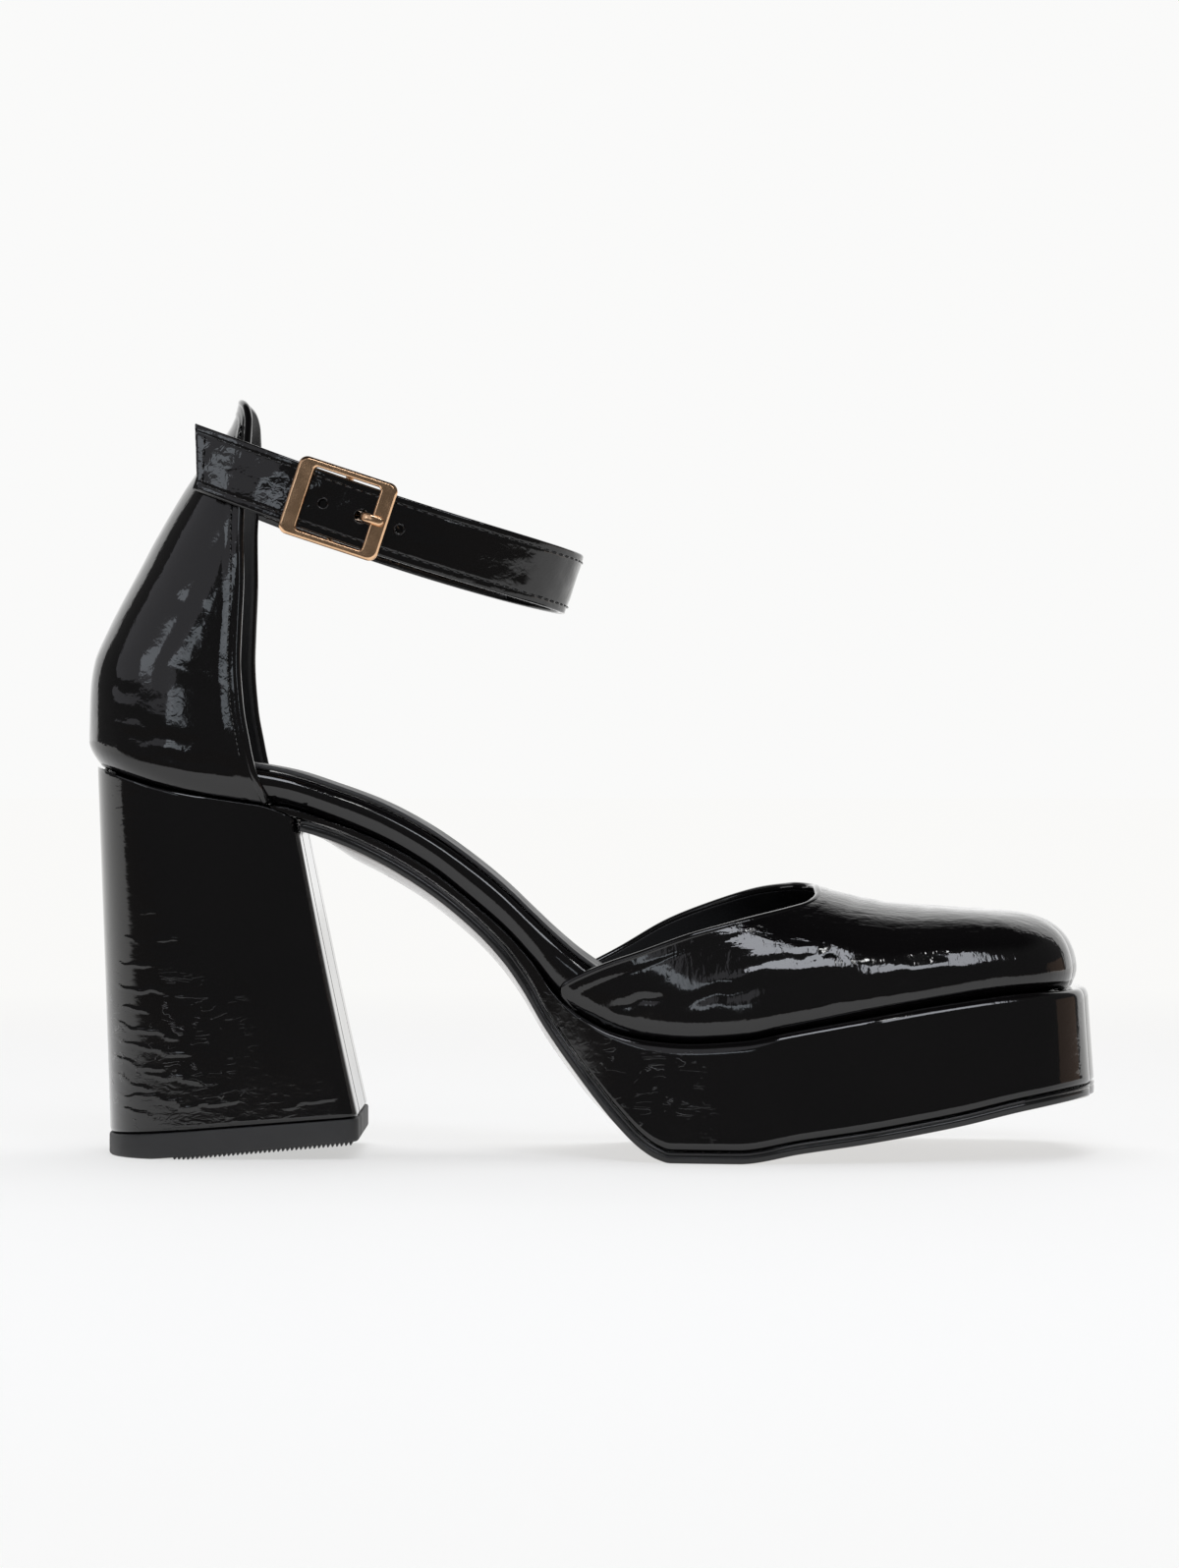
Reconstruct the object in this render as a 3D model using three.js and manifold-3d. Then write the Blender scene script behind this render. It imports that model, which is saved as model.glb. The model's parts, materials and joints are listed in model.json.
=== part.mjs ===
// A square-toed platform shoe with a block heel and an ankle strap, for the right foot.
// Millimetres. +X points to the toe, +Y to the inner side of the foot and +Z up.
// The origin is on the floor, under the middle of the flat rear edge of the heel.
import * as THREE from 'three';
import { mergeVertices } from 'three/addons/utils/BufferGeometryUtils.js';
import Module from 'manifold-3d';

const wasm = await Module();
wasm.setup();

// Overall sizes of the last
const lastLength = 243.6;
const heelOverhang = 12.4;
const ballWidth = 81;
const seatHeight = 86;
const vampHeight = 66.3;

// Thicknesses and the gap between neighbouring pieces
const clearance = 0.3;
const upperWall = 1.8;
const outsoleThickness = 2.7;
const sockThickness = 1.2;
const liftThickness = 5.2;

// Ends of the toe and heel in plan
const toeCorner = 15;
const toeCrown = 2.2;
const heelRound = 27;
const heelPower = 2.3;

// Ridge of the vamp: its share of the lean of the last, and where it stops following the toe
const crownLean = 0.6;
const crownStart = 0.83;
const crownHold = 0.4;
const throatHalf = 12;

// Platform and outsole beyond the upper
const platformLedge = 2.6;
const platformFlare = 1.6;
const waistInset = 2.8;
const edgeRound = 1.4;
const archBulge = 2.4;
const soleStart = 0.2135;
const tailStart = 0.186;

// Shares of the length over which one form runs into the next
const seatBlend = [0.175, 0.222];
const ledgeBlend = [0.44, 0.52];
const flareBlend = [0.50, 0.60];
const archRise = [0.22, 0.28];
const archFall = [0.50, 0.57];
const curlBlend = [0.15, 0.45];
const slackBlend = [0.50, 0.56];

// Heel block and lift
const heelLength = 48;
const heelFlare = 14.6;
const heelTopBack = 10.2;
const heelBottomBack = 7;
const heelTopHalf = 26;
const heelBottomHalf = 28.5;
const heelBackRound = 24;
const heelFrontRound = 3.5;
const heelTopReach = 2.6;
const heelSquare = 2.4;
const heelBackCurve = 1.1;
const liftProud = 0.2;
const heelFlat = 5;
const heelSlope = 0.087;
const liftTopSlope = 0.077;

// Counter and the curl of the upper round the edge of the board
const counterRise = 100.4;
const counterTop = seatHeight + counterRise;
const counterFront = 0.26;
const seatCurl = 3.2;
const vampCurl = 1.4;
const curlHeight = 5;
const boardEase = 0.35;
const boardSlack = 0.9;
const sockInset = 2.7;

// Ankle strap, laid out in its own sloping plane
const strapTilt = 18.2;
const strapWidth = 15.4;
const strapThickness = 2;
const buckleStrapThickness = 1.4;
const strapSag = 1.6;
const strapEdge = 0.4;
const loopLength = 96;
const loopShare = 0.37;
const loopHalfWidth = loopShare * ballWidth;
const tailX = 17.2;
const tailDrop = 15.3;
const tailZ = counterTop - tailDrop;
const tailSlant = 0.42;
const holePitch = 9.8;
const holeRadius = 1.1;

// Buckle
const frameLength = 25.1;
const frameWidth = 19.7;
const frameThickness = 1.6;
const windowLength = 17;
const frameCorner = 2.2;
const windowCorner = 1;
const buckleAlong = 36.2;
const barRadius = 1;
const frameBevel = 0.3;
const prongWidth = 2.2;
const prongThickness = 1.4;
const hubWall = 0.9;
const prongReach = 5.8;

// Height of the footbed and of the seam under it, as shares of the seat height
const bedRows = [
  { along: 0.000, bed: 1.233, seat: 1.130 },
  { along: 0.024, bed: 1.200, seat: 1.103 },
  { along: 0.071, bed: 1.158, seat: 1.062 },
  { along: 0.119, bed: 1.130, seat: 1.033 },
  { along: 0.161, bed: 1.113, seat: 1.014 },
  { along: 0.206, bed: 1.090, seat: 0.995 },
  { along: 0.253, bed: 1.048, seat: 0.953 },
  { along: 0.300, bed: 0.998, seat: 0.900 },
  { along: 0.348, bed: 0.926, seat: 0.824 },
  { along: 0.395, bed: 0.833, seat: 0.721 },
  { along: 0.427, bed: 0.758, seat: 0.642 },
  { along: 0.454, bed: 0.685, seat: 0.557 },
  { along: 0.476, bed: 0.626, seat: 0.470 },
  { along: 0.502, bed: 0.563, seat: 0.409 },
  { along: 0.535, bed: 0.499, seat: 0.363 },
  { along: 0.569, bed: 0.444, seat: 0.341 },
  { along: 0.608, bed: 0.406, seat: 0.333 },
  { along: 0.666, bed: 0.402, seat: 0.343 },
  { along: 0.705, bed: 0.421, seat: 0.365 },
  { along: 0.787, bed: 0.460, seat: 0.407 },
  { along: 0.868, bed: 0.498, seat: 0.445 },
  { along: 0.950, bed: 0.526, seat: 0.473 },
  { along: 1.000, bed: 0.535, seat: 0.479 },
];

// Height of the tread, from the breast of the heel to the toe
const treadRows = [
  { along: 0.166, under: 0.963 },
  { along: 0.219, under: 0.931 },
  { along: 0.253, under: 0.902 },
  { along: 0.300, under: 0.841 },
  { along: 0.348, under: 0.757 },
  { along: 0.395, under: 0.648 },
  { along: 0.424, under: 0.560 },
  { along: 0.442, under: 0.487 },
  { along: 0.466, under: 0.372 },
  { along: 0.501, under: 0.233 },
  { along: 0.537, under: 0.106 },
  { along: 0.562, under: 0.037 },
  { along: 0.578, under: 0.010 },
  { along: 0.591, under: 0.000 },
  { along: 0.658, under: 0.000 },
  { along: 0.720, under: 0.029 },
  { along: 0.783, under: 0.055 },
  { along: 0.876, under: 0.101 },
  { along: 0.950, under: 0.147 },
  { along: 1.000, under: 0.170 },
  { along: 1.024, under: 0.177 },
];

// Half widths of the last, as shares of the ball width
const planRows = [
  { along: 0.000, outer: 0.345, inner: 0.345 },
  { along: 0.080, outer: 0.352, inner: 0.350 },
  { along: 0.150, outer: 0.352, inner: 0.345 },
  { along: 0.250, outer: 0.340, inner: 0.322 },
  { along: 0.350, outer: 0.328, inner: 0.292 },
  { along: 0.450, outer: 0.345, inner: 0.285 },
  { along: 0.550, outer: 0.410, inner: 0.345 },
  { along: 0.630, outer: 0.465, inner: 0.425 },
  { along: 0.700, outer: 0.490, inner: 0.482 },
  { along: 0.770, outer: 0.482, inner: 0.505 },
  { along: 0.850, outer: 0.446, inner: 0.497 },
  { along: 0.930, outer: 0.396, inner: 0.468 },
  { along: 1.000, outer: 0.352, inner: 0.440 },
];

// Ridge of the vamp, as shares of the vamp height, and how square its section is
const ridgeRows = [
  { along: 0.430, height: 1.620, square: 2.8 },
  { along: 0.520, height: 1.420, square: 2.6 },
  { along: 0.640, height: 1.150, square: 2.3 },
  { along: 0.700, height: 1.042, square: 2.3 },
  { along: 0.743, height: 1.000, square: 2.4 },
  { along: 0.775, height: 0.970, square: 2.5 },
  { along: 0.817, height: 0.940, square: 2.6 },
  { along: 0.860, height: 0.922, square: 2.8 },
  { along: 0.900, height: 0.910, square: 3.0 },
  { along: 1.000, height: 0.900, square: 3.1 },
];

// Topline of the vamp, seen from each side, as shares of the last length and vamp height
const toplineRows = [
  { outer: 0.4975, outerRise: 0.450, inner: 0.4975, innerRise: 0.450 },
  { outer: 0.4920, outerRise: 0.555, inner: 0.4920, innerRise: 0.555 },
  { outer: 0.4830, outerRise: 0.612, inner: 0.4850, innerRise: 0.610 },
  { outer: 0.4845, outerRise: 0.634, inner: 0.4870, innerRise: 0.636 },
  { outer: 0.5200, outerRise: 0.701, inner: 0.5150, innerRise: 0.690 },
  { outer: 0.5640, outerRise: 0.759, inner: 0.5450, innerRise: 0.748 },
  { outer: 0.6090, outerRise: 0.820, inner: 0.5920, innerRise: 0.849 },
  { outer: 0.6430, outerRise: 0.856, inner: 0.6400, innerRise: 0.922 },
  { outer: 0.6760, outerRise: 0.889, inner: 0.6860, innerRise: 0.979 },
  { outer: 0.7110, outerRise: 0.921, inner: 0.7150, innerRise: 0.999 },
  { outer: 0.7320, outerRise: 0.944, inner: 0.7310, innerRise: 1.007 },
  { outer: 0.7430, outerRise: 0.975, inner: 0.7420, innerRise: 1.012 },
  { outer: 0.7465, outerRise: 1.030, inner: 0.7465, innerRise: 1.040 },
];

// Levels of the counter, as shares of its height over the seat: back line, width and how level it lies
const counterRows = [
  { level: 0.000, back: 0.0000, wide: 1.000, flat: 0.00 },
  { level: 0.008, back: 0.0000, wide: 1.000, flat: 0.02 },
  { level: 0.020, back: 0.0000, wide: 1.000, flat: 0.04 },
  { level: 0.034, back: 0.0000, wide: 1.000, flat: 0.07 },
  { level: 0.056, back: 0.0000, wide: 1.001, flat: 0.12 },
  { level: 0.119, back: 0.0004, wide: 0.998, flat: 0.30 },
  { level: 0.203, back: 0.0016, wide: 0.975, flat: 0.55 },
  { level: 0.277, back: 0.0057, wide: 0.955, flat: 0.75 },
  { level: 0.350, back: 0.0168, wide: 0.940, flat: 0.90 },
  { level: 0.434, back: 0.0324, wide: 0.925, flat: 1.00 },
  { level: 0.539, back: 0.0530, wide: 0.912, flat: 1.00 },
  { level: 0.643, back: 0.0735, wide: 0.900, flat: 1.00 },
  { level: 0.748, back: 0.0960, wide: 0.890, flat: 1.00 },
  { level: 0.853, back: 0.1227, wide: 0.880, flat: 1.00 },
  { level: 0.937, back: 0.1453, wide: 0.870, flat: 1.00 },
  { level: 1.063, back: 0.1600, wide: 0.850, flat: 1.00 },
];

// Front edge of the counter and its round tab, seen from the side
const counterEdgeRows = [
  { along: 0.2150, level: -0.300 },
  { along: 0.1850, level: -0.119 },
  { along: 0.1720, level: -0.013 },
  { along: 0.1670, level: 0.054 },
  { along: 0.1610, level: 0.151 },
  { along: 0.1580, level: 0.278 },
  { along: 0.1590, level: 0.358 },
  { along: 0.1610, level: 0.506 },
  { along: 0.1605, level: 0.628 },
  { along: 0.1630, level: 0.791 },
  { along: 0.1650, level: 0.895 },
  { along: 0.1645, level: 0.942 },
  { along: 0.1620, level: 0.973 },
  { along: 0.1580, level: 0.990 },
  { along: 0.1545, level: 0.998 },
  { along: 0.1515, level: 0.994 },
  { along: 0.1480, level: 0.975 },
  { along: 0.1350, level: 0.900 },
];

// Ankle loop in plan, from the loose tail round the front, as shares of its length and half width
const loopRows = [
  { along: -0.010, side: -0.765 },
  { along: 0.080, side: -0.893 },
  { along: 0.190, side: -0.975 },
  { along: 0.377, side: -1.000 },
  { along: 0.560, side: -0.985 },
  { along: 0.700, side: -0.930 },
  { along: 0.840, side: -0.790 },
  { along: 0.930, side: -0.560 },
  { along: 0.980, side: -0.270 },
  { along: 0.990, side: 0.000 },
  { along: 0.980, side: 0.270 },
  { along: 0.930, side: 0.560 },
  { along: 0.840, side: 0.790 },
  { along: 0.700, side: 0.930 },
  { along: 0.560, side: 0.985 },
  { along: 0.377, side: 0.990 },
  { along: 0.220, side: 0.955 },
];

// Where a strap lies on the counter, as shares of the loop length
const seatShares = [0.125, 0.095, 0.065, 0.035, 0.010];

// Smooth curve through a column of a table, without overshoot
function smoothCurve(rows, key, by = 'along') {
  const slopes = rows.slice(1).map((row, i) => (row[key] - rows[i][key]) / (row[by] - rows[i][by]));
  const tangents = rows.map((row, i) => {
    if (i === 0) return slopes[0];
    if (i === rows.length - 1) return slopes[i - 1];
    if (slopes[i - 1] * slopes[i] <= 0) return 0;
    return 2 * slopes[i - 1] * slopes[i] / (slopes[i - 1] + slopes[i]);
  });
  return (share) => {
    let i = 0;
    while (i < rows.length - 2 && share > rows[i + 1][by]) i += 1;
    const span = rows[i + 1][by] - rows[i][by];
    const t = (share - rows[i][by]) / span;
    if (t < 0) return rows[0][key] + tangents[0] * t * span;
    if (t > 1) return rows[i + 1][key] + tangents[i + 1] * (t - 1) * span;
    const rise = rows[i + 1][key] - rows[i][key];
    return rows[i][key] + rise * t * t * (3 - 2 * t)
      + span * t * (1 - t) * (tangents[i] * (1 - t) - tangents[i + 1] * t);
  };
}

const bedCurve = smoothCurve(bedRows, 'bed');
const seatCurve = smoothCurve(bedRows, 'seat');
const treadCurve = smoothCurve(treadRows, 'under');
const outerCurve = smoothCurve(planRows, 'outer');
const innerCurve = smoothCurve(planRows, 'inner');
const ridgeCurve = smoothCurve(ridgeRows, 'height');
const squareCurve = smoothCurve(ridgeRows, 'square');
const backCurve = smoothCurve(counterRows, 'back', 'level');
const wideCurve = smoothCurve(counterRows, 'wide', 'level');

const alongOf = (x) => (x + heelOverhang) / lastLength;
const xOf = (along) => along * lastLength - heelOverhang;
const bedAt = (x) => bedCurve(alongOf(x)) * seatHeight;
const seatAt = (x) => seatCurve(alongOf(x)) * seatHeight;
const treadAt = (x) => treadCurve(alongOf(x)) * seatHeight;
const ridgeAt = (x) => ridgeCurve(alongOf(x)) * vampHeight;
const lerp = THREE.MathUtils.lerp;
const blend = (x, [from, to]) => THREE.MathUtils.smoothstep(alongOf(x), from, to);

// Upright thickness of a sheet that follows a sloping line
function upright(heightAt, x, thickness) {
  const step = 1.5;
  const slope = (heightAt(x + step) - heightAt(x - step)) / (2 * step);
  return thickness * Math.hypot(1, slope);
}

// Top of the outsole under the arch and platform, and top of the block under the seat
function layerAt(x) {
  const onSole = treadAt(x) + upright(treadAt, x, outsoleThickness);
  const onSeat = seatAt(x) - clearance;
  return lerp(onSeat, onSole, blend(x, seatBlend));
}

// Where the sections of every piece are taken, closest together at the heel, the break and the toe
const stationRows = [
  { upTo: 0.19, steps: 2 },
  { upTo: 0.39, steps: 6 },
  { upTo: 0.60, steps: 16 },
  { upTo: 0.80, steps: 6 },
  { upTo: 1 - toeCorner / lastLength, steps: 4 },
];

function stationList() {
  const list = [];
  const roundShare = heelRound / lastLength;
  for (let i = 1; i <= 8; i += 1) list.push(roundShare * Math.pow(i / 8, heelPower));
  for (const row of stationRows) {
    const start = list[list.length - 1];
    for (let i = 1; i <= row.steps; i += 1) list.push(lerp(start, row.upTo, i / row.steps));
  }
  const corner = 1 - list[list.length - 1];
  for (let i = 1; i < 6; i += 1) list.push(1 - corner + corner * Math.sin(i / 6 * Math.PI / 2));
  return list;
}

const stations = stationList();

// Half width of the last on one side, rounded off at the heel and at the square toe
function halfAt(along, curve) {
  const roundShare = heelRound / lastLength;
  const cornerShare = toeCorner / lastLength;
  let half = curve(along) * ballWidth;
  if (along < roundShare) {
    const t = 1 - Math.max(0, along) / roundShare;
    half *= Math.pow(1 - Math.pow(t, heelPower), 1 / heelPower);
  }
  if (along > 1 - cornerShare) {
    const t = (along - 1 + cornerShare) / cornerShare;
    half -= toeCorner * (1 - Math.sqrt(Math.max(0, 1 - t * t)));
  }
  return half;
}

// Pairs of points, outer and inner, along an outline of the last between two shares
function planPairs(fromAlong, toAlong) {
  const alongs = stations.filter((along) => along > fromAlong + 0.004 && along < toAlong - 0.004);
  if (fromAlong > 0) alongs.unshift(fromAlong);
  alongs.push(toAlong);
  const pairs = alongs.map((along) => (
    { x: xOf(along), outer: -halfAt(along, outerCurve), inner: halfAt(along, innerCurve) }
  ));
  if (fromAlong <= 0) {
    const first = pairs[0];
    pairs.unshift({ x: xOf(0), outer: first.outer * 0.45, inner: first.inner * 0.45 });
  }
  if (toAlong >= 1) {
    const last = pairs[pairs.length - 1];
    for (const share of [0.8, 0.6, 0.4, 0.2]) {
      const x = last.x + toeCrown * (1 - share * share);
      pairs.push({ x, outer: last.outer * share, inner: last.inner * share });
    }
  }
  return pairs;
}

// One closed ring: out along the outer side to the toe and back along the inner side
function ringOf(pairs) {
  const ring = pairs.map((pair) => new THREE.Vector2(pair.x, pair.outer));
  for (let i = pairs.length - 1; i >= 0; i -= 1) ring.push(new THREE.Vector2(pairs[i].x, pairs[i].inner));
  return ring;
}

// The same ring moved inwards by a distance that can change from point to point
function insetRing(ring, distanceAt) {
  const count = ring.length;
  return ring.map((point, i) => {
    const before = ring[(i + count - 1) % count];
    const after = ring[(i + 1) % count];
    const one = new THREE.Vector2().subVectors(point, before).normalize();
    const two = new THREE.Vector2().subVectors(after, point).normalize();
    const along = one.add(two).normalize();
    const distance = distanceAt(point.x);
    return new THREE.Vector2(point.x - along.y * distance, point.y + along.x * distance);
  });
}

// Closed skin through rings with the same number of points, with a strip of quads on each end
function loft(rings) {
  const count = rings[0].length;
  const positions = rings.flat().flatMap((point) => [point.x, point.y, point.z]);
  const faces = [];
  const quad = (a, b, c, d) => faces.push(a, b, c, a, c, d);
  for (let k = 0; k < rings.length - 1; k += 1) {
    for (let i = 0; i < count; i += 1) {
      const j = (i + 1) % count;
      quad(k * count + i, k * count + j, (k + 1) * count + j, (k + 1) * count + i);
    }
  }
  const last = (rings.length - 1) * count;
  for (let i = 0; i < count / 2 - 1; i += 1) {
    quad(i, count - 1 - i, count - 2 - i, i + 1);
    quad(last + i, last + i + 1, last + count - 2 - i, last + count - 1 - i);
  }
  const geometry = new THREE.BufferGeometry();
  geometry.setAttribute('position', new THREE.Float32BufferAttribute(positions, 3));
  geometry.setIndex(faces);
  return geometry;
}

function solidOf(geometry) {
  const bare = geometry.clone();
  bare.deleteAttribute('normal');
  bare.deleteAttribute('uv');
  const merged = mergeVertices(bare, 1e-4);
  return new wasm.Manifold(new wasm.Mesh({
    numProp: 3,
    vertProperties: new Float32Array(merged.attributes.position.array),
    triVerts: new Uint32Array(merged.index.array),
  }));
}

function geometryOf(solid) {
  const mesh = solid.getMesh();
  const geometry = new THREE.BufferGeometry();
  geometry.setAttribute('position', new THREE.BufferAttribute(mesh.vertProperties, 3));
  geometry.setIndex(new THREE.BufferAttribute(mesh.triVerts, 1));
  geometry.computeVertexNormals();
  return geometry;
}

const lift = (ring, heightAt) => ring.map((point) => new THREE.Vector3(point.x, point.y, heightAt(point.x)));

// Inset of the lower edge of the upper, which curls under onto the board
function curlAt(x, rise) {
  const share = Math.max(0, 1 - rise / curlHeight);
  return share * share * lerp(seatCurl, vampCurl, blend(x, curlBlend));
}

// Footbed board with its wrapped edge
function boardGeometry() {
  const outline = ringOf(planPairs(0, 1));
  const inside = upperWall + clearance + boardEase;
  const rows = [
    { share: 0, inset: 0.5 },
    { share: 0.08, inset: 0 },
    { share: 0.30, inset: 0 },
    { share: 0.60, inset: 0 },
    { share: 0.84, inset: 0.5 },
    { share: 1, inset: 1.7 },
  ];
  const base = (x) => seatAt(x) + upright(seatAt, x, clearance);
  const hidden = (x) => boardSlack * blend(x, slackBlend);
  return loft(rows.map((row) => lift(
    insetRing(outline, (x) => inside + row.inset + hidden(x) + curlAt(x, row.share * (bedAt(x) - base(x)))),
    (x) => lerp(base(x), bedAt(x), row.share),
  )));
}

// Thin insole that the foot stands on
function sockGeometry() {
  const outline = ringOf(planPairs(0, 1));
  const inset = upperWall + sockInset;
  const rows = [
    { rise: clearance, inset: inset },
    { rise: clearance + sockThickness * 0.6, inset: inset },
    { rise: clearance + sockThickness, inset: inset + 0.8 },
  ];
  return loft(rows.map((row) => lift(insetRing(outline, () => row.inset), (x) => bedAt(x) + row.rise)));
}

// How far the platform stands out from the last: under it at the arch, proud of it at the front
const ledgeAt = (x) => lerp(-waistInset, platformLedge, blend(x, ledgeBlend));

// How far the sides of the platform spread towards the floor
const flareAt = (x) => platformFlare * blend(x, flareBlend);

// Platform with its thin tail under the arch
function platformGeometry() {
  const tail = planPairs(tailStart, soleStart).slice(0, -1);
  const outline = ringOf([...tail, ...planPairs(soleStart, 1)]);
  const rows = [
    { share: 0, flare: 1, inset: 0.5 },
    { share: 0.05, flare: 1, inset: 0 },
    { share: 0.35, flare: 0.7, inset: 0 },
    { share: 0.70, flare: 0.35, inset: 0 },
    { share: 0.94, flare: 0, inset: 0 },
    { share: 0.985, flare: 0, inset: 0.3 },
    { share: 1, flare: 0, inset: 1 },
  ];
  return loft(rows.map((row) => lift(
    insetRing(outline, (x) => row.inset * edgeRound - ledgeAt(x) - row.flare * flareAt(x)),
    (x) => lerp(layerAt(x) + upright(treadAt, x, clearance), seatAt(x), row.share),
  )));
}

// Outsole: flat under the ball, and rounded across under the arch
function outsoleGeometry() {
  const outline = ringOf(planPairs(soleStart, 1));
  const bulge = (x) => archBulge * blend(x, archRise) * (1 - blend(x, archFall));
  const edge = insetRing(outline, (x) => -ledgeAt(x) - flareAt(x));
  const middle = (edge[0].x + edge[outline.length / 2].x) / 2;
  const rows = [
    { width: 0.25, length: 0.985, depth: 1 },
    { width: 0.60, length: 0.990, depth: 0.72 },
    { width: 0.86, length: 0.995, depth: 0.30 },
  ];
  const underside = rows.map((row) => lift(
    edge.map((point) => new THREE.Vector2(lerp(middle, point.x, row.length), point.y * row.width)),
    (x) => treadAt(x) - bulge(x) * row.depth,
  ));
  const chamfer = outsoleThickness / 6;
  return loft([
    ...underside,
    lift(insetRing(edge, () => chamfer), treadAt),
    lift(edge, (x) => treadAt(x) + chamfer),
    lift(edge, layerAt),
  ]);
}

// Section of the heel block: round back, flat breast with small corners
function heelPairs(back, front, half) {
  const pairs = [];
  const add = (x, y) => pairs.push({ x, outer: -y, inner: y });
  const steps = 9;
  const firstTurn = 0.06;
  for (let i = 0; i <= steps; i += 1) {
    const angle = lerp(firstTurn, 1, i / steps) * Math.PI / 2;
    const x = back + heelBackRound * (1 - Math.pow(Math.cos(angle), 2 / heelSquare));
    add(x, half * Math.pow(Math.sin(angle), 2 / heelSquare));
  }
  const sideSteps = 5;
  for (let i = 1; i <= sideSteps; i += 1) {
    add(lerp(back + heelBackRound, front - heelFrontRound, i / sideSteps), half);
  }
  for (let i = 1; i <= sideSteps; i += 1) {
    const angle = i / sideSteps * Math.PI / 2;
    add(front - heelFrontRound * (1 - Math.sin(angle)), half - heelFrontRound * (1 - Math.cos(angle)));
  }
  return pairs;
}

// Underside and top of the lift: a flat spot at the back, then rising a little towards the toe
const liftUnder = (x) => Math.max(0, heelSlope * (x - heelFlat));
const liftTop = (x) => liftThickness + liftTopSlope * (x + heelBottomBack);

// Ring round the heel at a share of its height, grown outwards a little
function heelRing(share, grow) {
  const back = -lerp(heelBottomBack, heelTopBack, Math.pow(share, heelBackCurve)) - grow;
  const bottomFront = heelLength - heelBottomBack + heelFlare;
  const topFront = heelLength - heelTopBack + heelTopReach;
  const front = lerp(bottomFront, topFront, share) + grow;
  const half = lerp(heelBottomHalf, heelTopHalf, share) + grow;
  return ringOf(heelPairs(back, front, half));
}

// Block heel, from the lift up to the seat
function heelBlockGeometry() {
  const levels = [0, 0.02, 0.25, 0.5, 0.75, 1];
  return loft(levels.map((share) => lift(
    heelRing(share, share === 0 ? -edgeRound / 2 : 0),
    (x) => lerp(liftTop(x) + clearance, layerAt(x), share),
  )));
}

// Rubber top piece under the block
function heelLiftGeometry() {
  const rows = [
    { share: 0, grow: -liftProud },
    { share: 0.1, grow: liftProud },
    { share: 0.9, grow: liftProud },
    { share: 1, grow: 0 },
  ];
  return loft(rows.map((row) => lift(
    heelRing(0, row.grow),
    (x) => lerp(liftUnder(x), liftTop(x), row.share),
  )));
}

// Closed body of the front of the last, a dome over the plan outline
function vampBody(wall) {
  const outline = ringOf(planPairs(0.43, 1));
  const count = outline.length;
  const levels = [0, 0.06, 0.14, 0.28, 0.44, 0.60, 0.75, 0.87, 0.95, 0.985, 0.999];
  const minReach = 0.02;
  const drop = wall > 0 ? curlHeight : 0;
  const crown = outline.map((point, i) => {
    const other = outline[count - 1 - i];
    const along = alongOf(point.x);
    const held = along < crownStart ? along : crownStart + (along - crownStart) * crownHold;
    return new THREE.Vector2(xOf(held), (point.y + other.y) / 2 * crownLean);
  });
  const base = insetRing(outline, () => wall);
  return loft(levels.map((level, k) => base.map((point, i) => {
    const along = alongOf(outline[i].x);
    const power = squareCurve(along);
    const seat = seatAt(outline[i].x) + clearance;
    const top = ridgeAt(crown[i].x) - wall;
    const pull = Math.pow(1 - Math.pow(level, power), 1 / power);
    const rise = level * (top - seat);
    const curl = curlAt(outline[i].x, rise);
    const low = new THREE.Vector2(point.x, point.y).sub(crown[i]);
    const reach = Math.max(minReach, pull - curl / low.length());
    const spot = low.multiplyScalar(reach).add(crown[i]);
    return new THREE.Vector3(spot.x, spot.y, k === 0 ? seat - drop : seat + rise);
  })));
}

// Everything above and behind the topline, with its inner side blended in across the throat
function aboveTopline() {
  const far = xOf(0.36);
  const low = 0.3 * vampHeight;
  const high = 2.6 * vampHeight;
  const section = (y, alongKey, riseKey) => {
    const line = toplineRows.map((row) => [xOf(row[alongKey]), row[riseKey] * vampHeight]);
    const throat = line[line.length - 1][0];
    const points = [[far, low], ...line, [throat, high], [far, high]];
    return points.map(([x, z]) => new THREE.Vector3(x, y, z));
  };
  return prism([
    section(-ballWidth, 'outer', 'outerRise'),
    section(-throatHalf, 'outer', 'outerRise'),
    section(throatHalf, 'inner', 'innerRise'),
    section(ballWidth, 'inner', 'innerRise'),
  ]);
}

// Prism between matching outlines at several widths, closed by the triangles of its own shape
function prism(sections) {
  const count = sections[0].length;
  const flat = sections[0].map((point) => new THREE.Vector2(point.x, point.z));
  const caps = THREE.ShapeUtils.triangulateShape(flat, []);
  const positions = sections.flat().flatMap((point) => [point.x, point.y, point.z]);
  const faces = [];
  for (let k = 0; k < sections.length - 1; k += 1) {
    for (let i = 0; i < count; i += 1) {
      const j = (i + 1) % count;
      const low = k * count;
      const high = low + count;
      faces.push(low + i, high + j, low + j, low + i, high + i, high + j);
    }
  }
  const last = (sections.length - 1) * count;
  for (const [a, b, c] of caps) {
    faces.push(a, b, c, last + a, last + c, last + b);
  }
  const geometry = new THREE.BufferGeometry();
  geometry.setAttribute('position', new THREE.Float32BufferAttribute(positions, 3));
  geometry.setIndex(faces);
  return orient(geometry);
}

// Turn every face over when the body came out inside out
function orient(geometry) {
  const position = geometry.attributes.position;
  const index = geometry.index;
  const corner = (i) => new THREE.Vector3().fromBufferAttribute(position, index.getX(i));
  let volume = 0;
  for (let i = 0; i < index.count; i += 3) {
    volume += corner(i).dot(corner(i + 1).cross(corner(i + 2)));
  }
  if (volume > 0) return geometry;
  const flipped = [];
  for (let i = 0; i < index.count; i += 3) flipped.push(index.getX(i), index.getX(i + 2), index.getX(i + 1));
  geometry.setIndex(flipped);
  return geometry;
}

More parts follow.
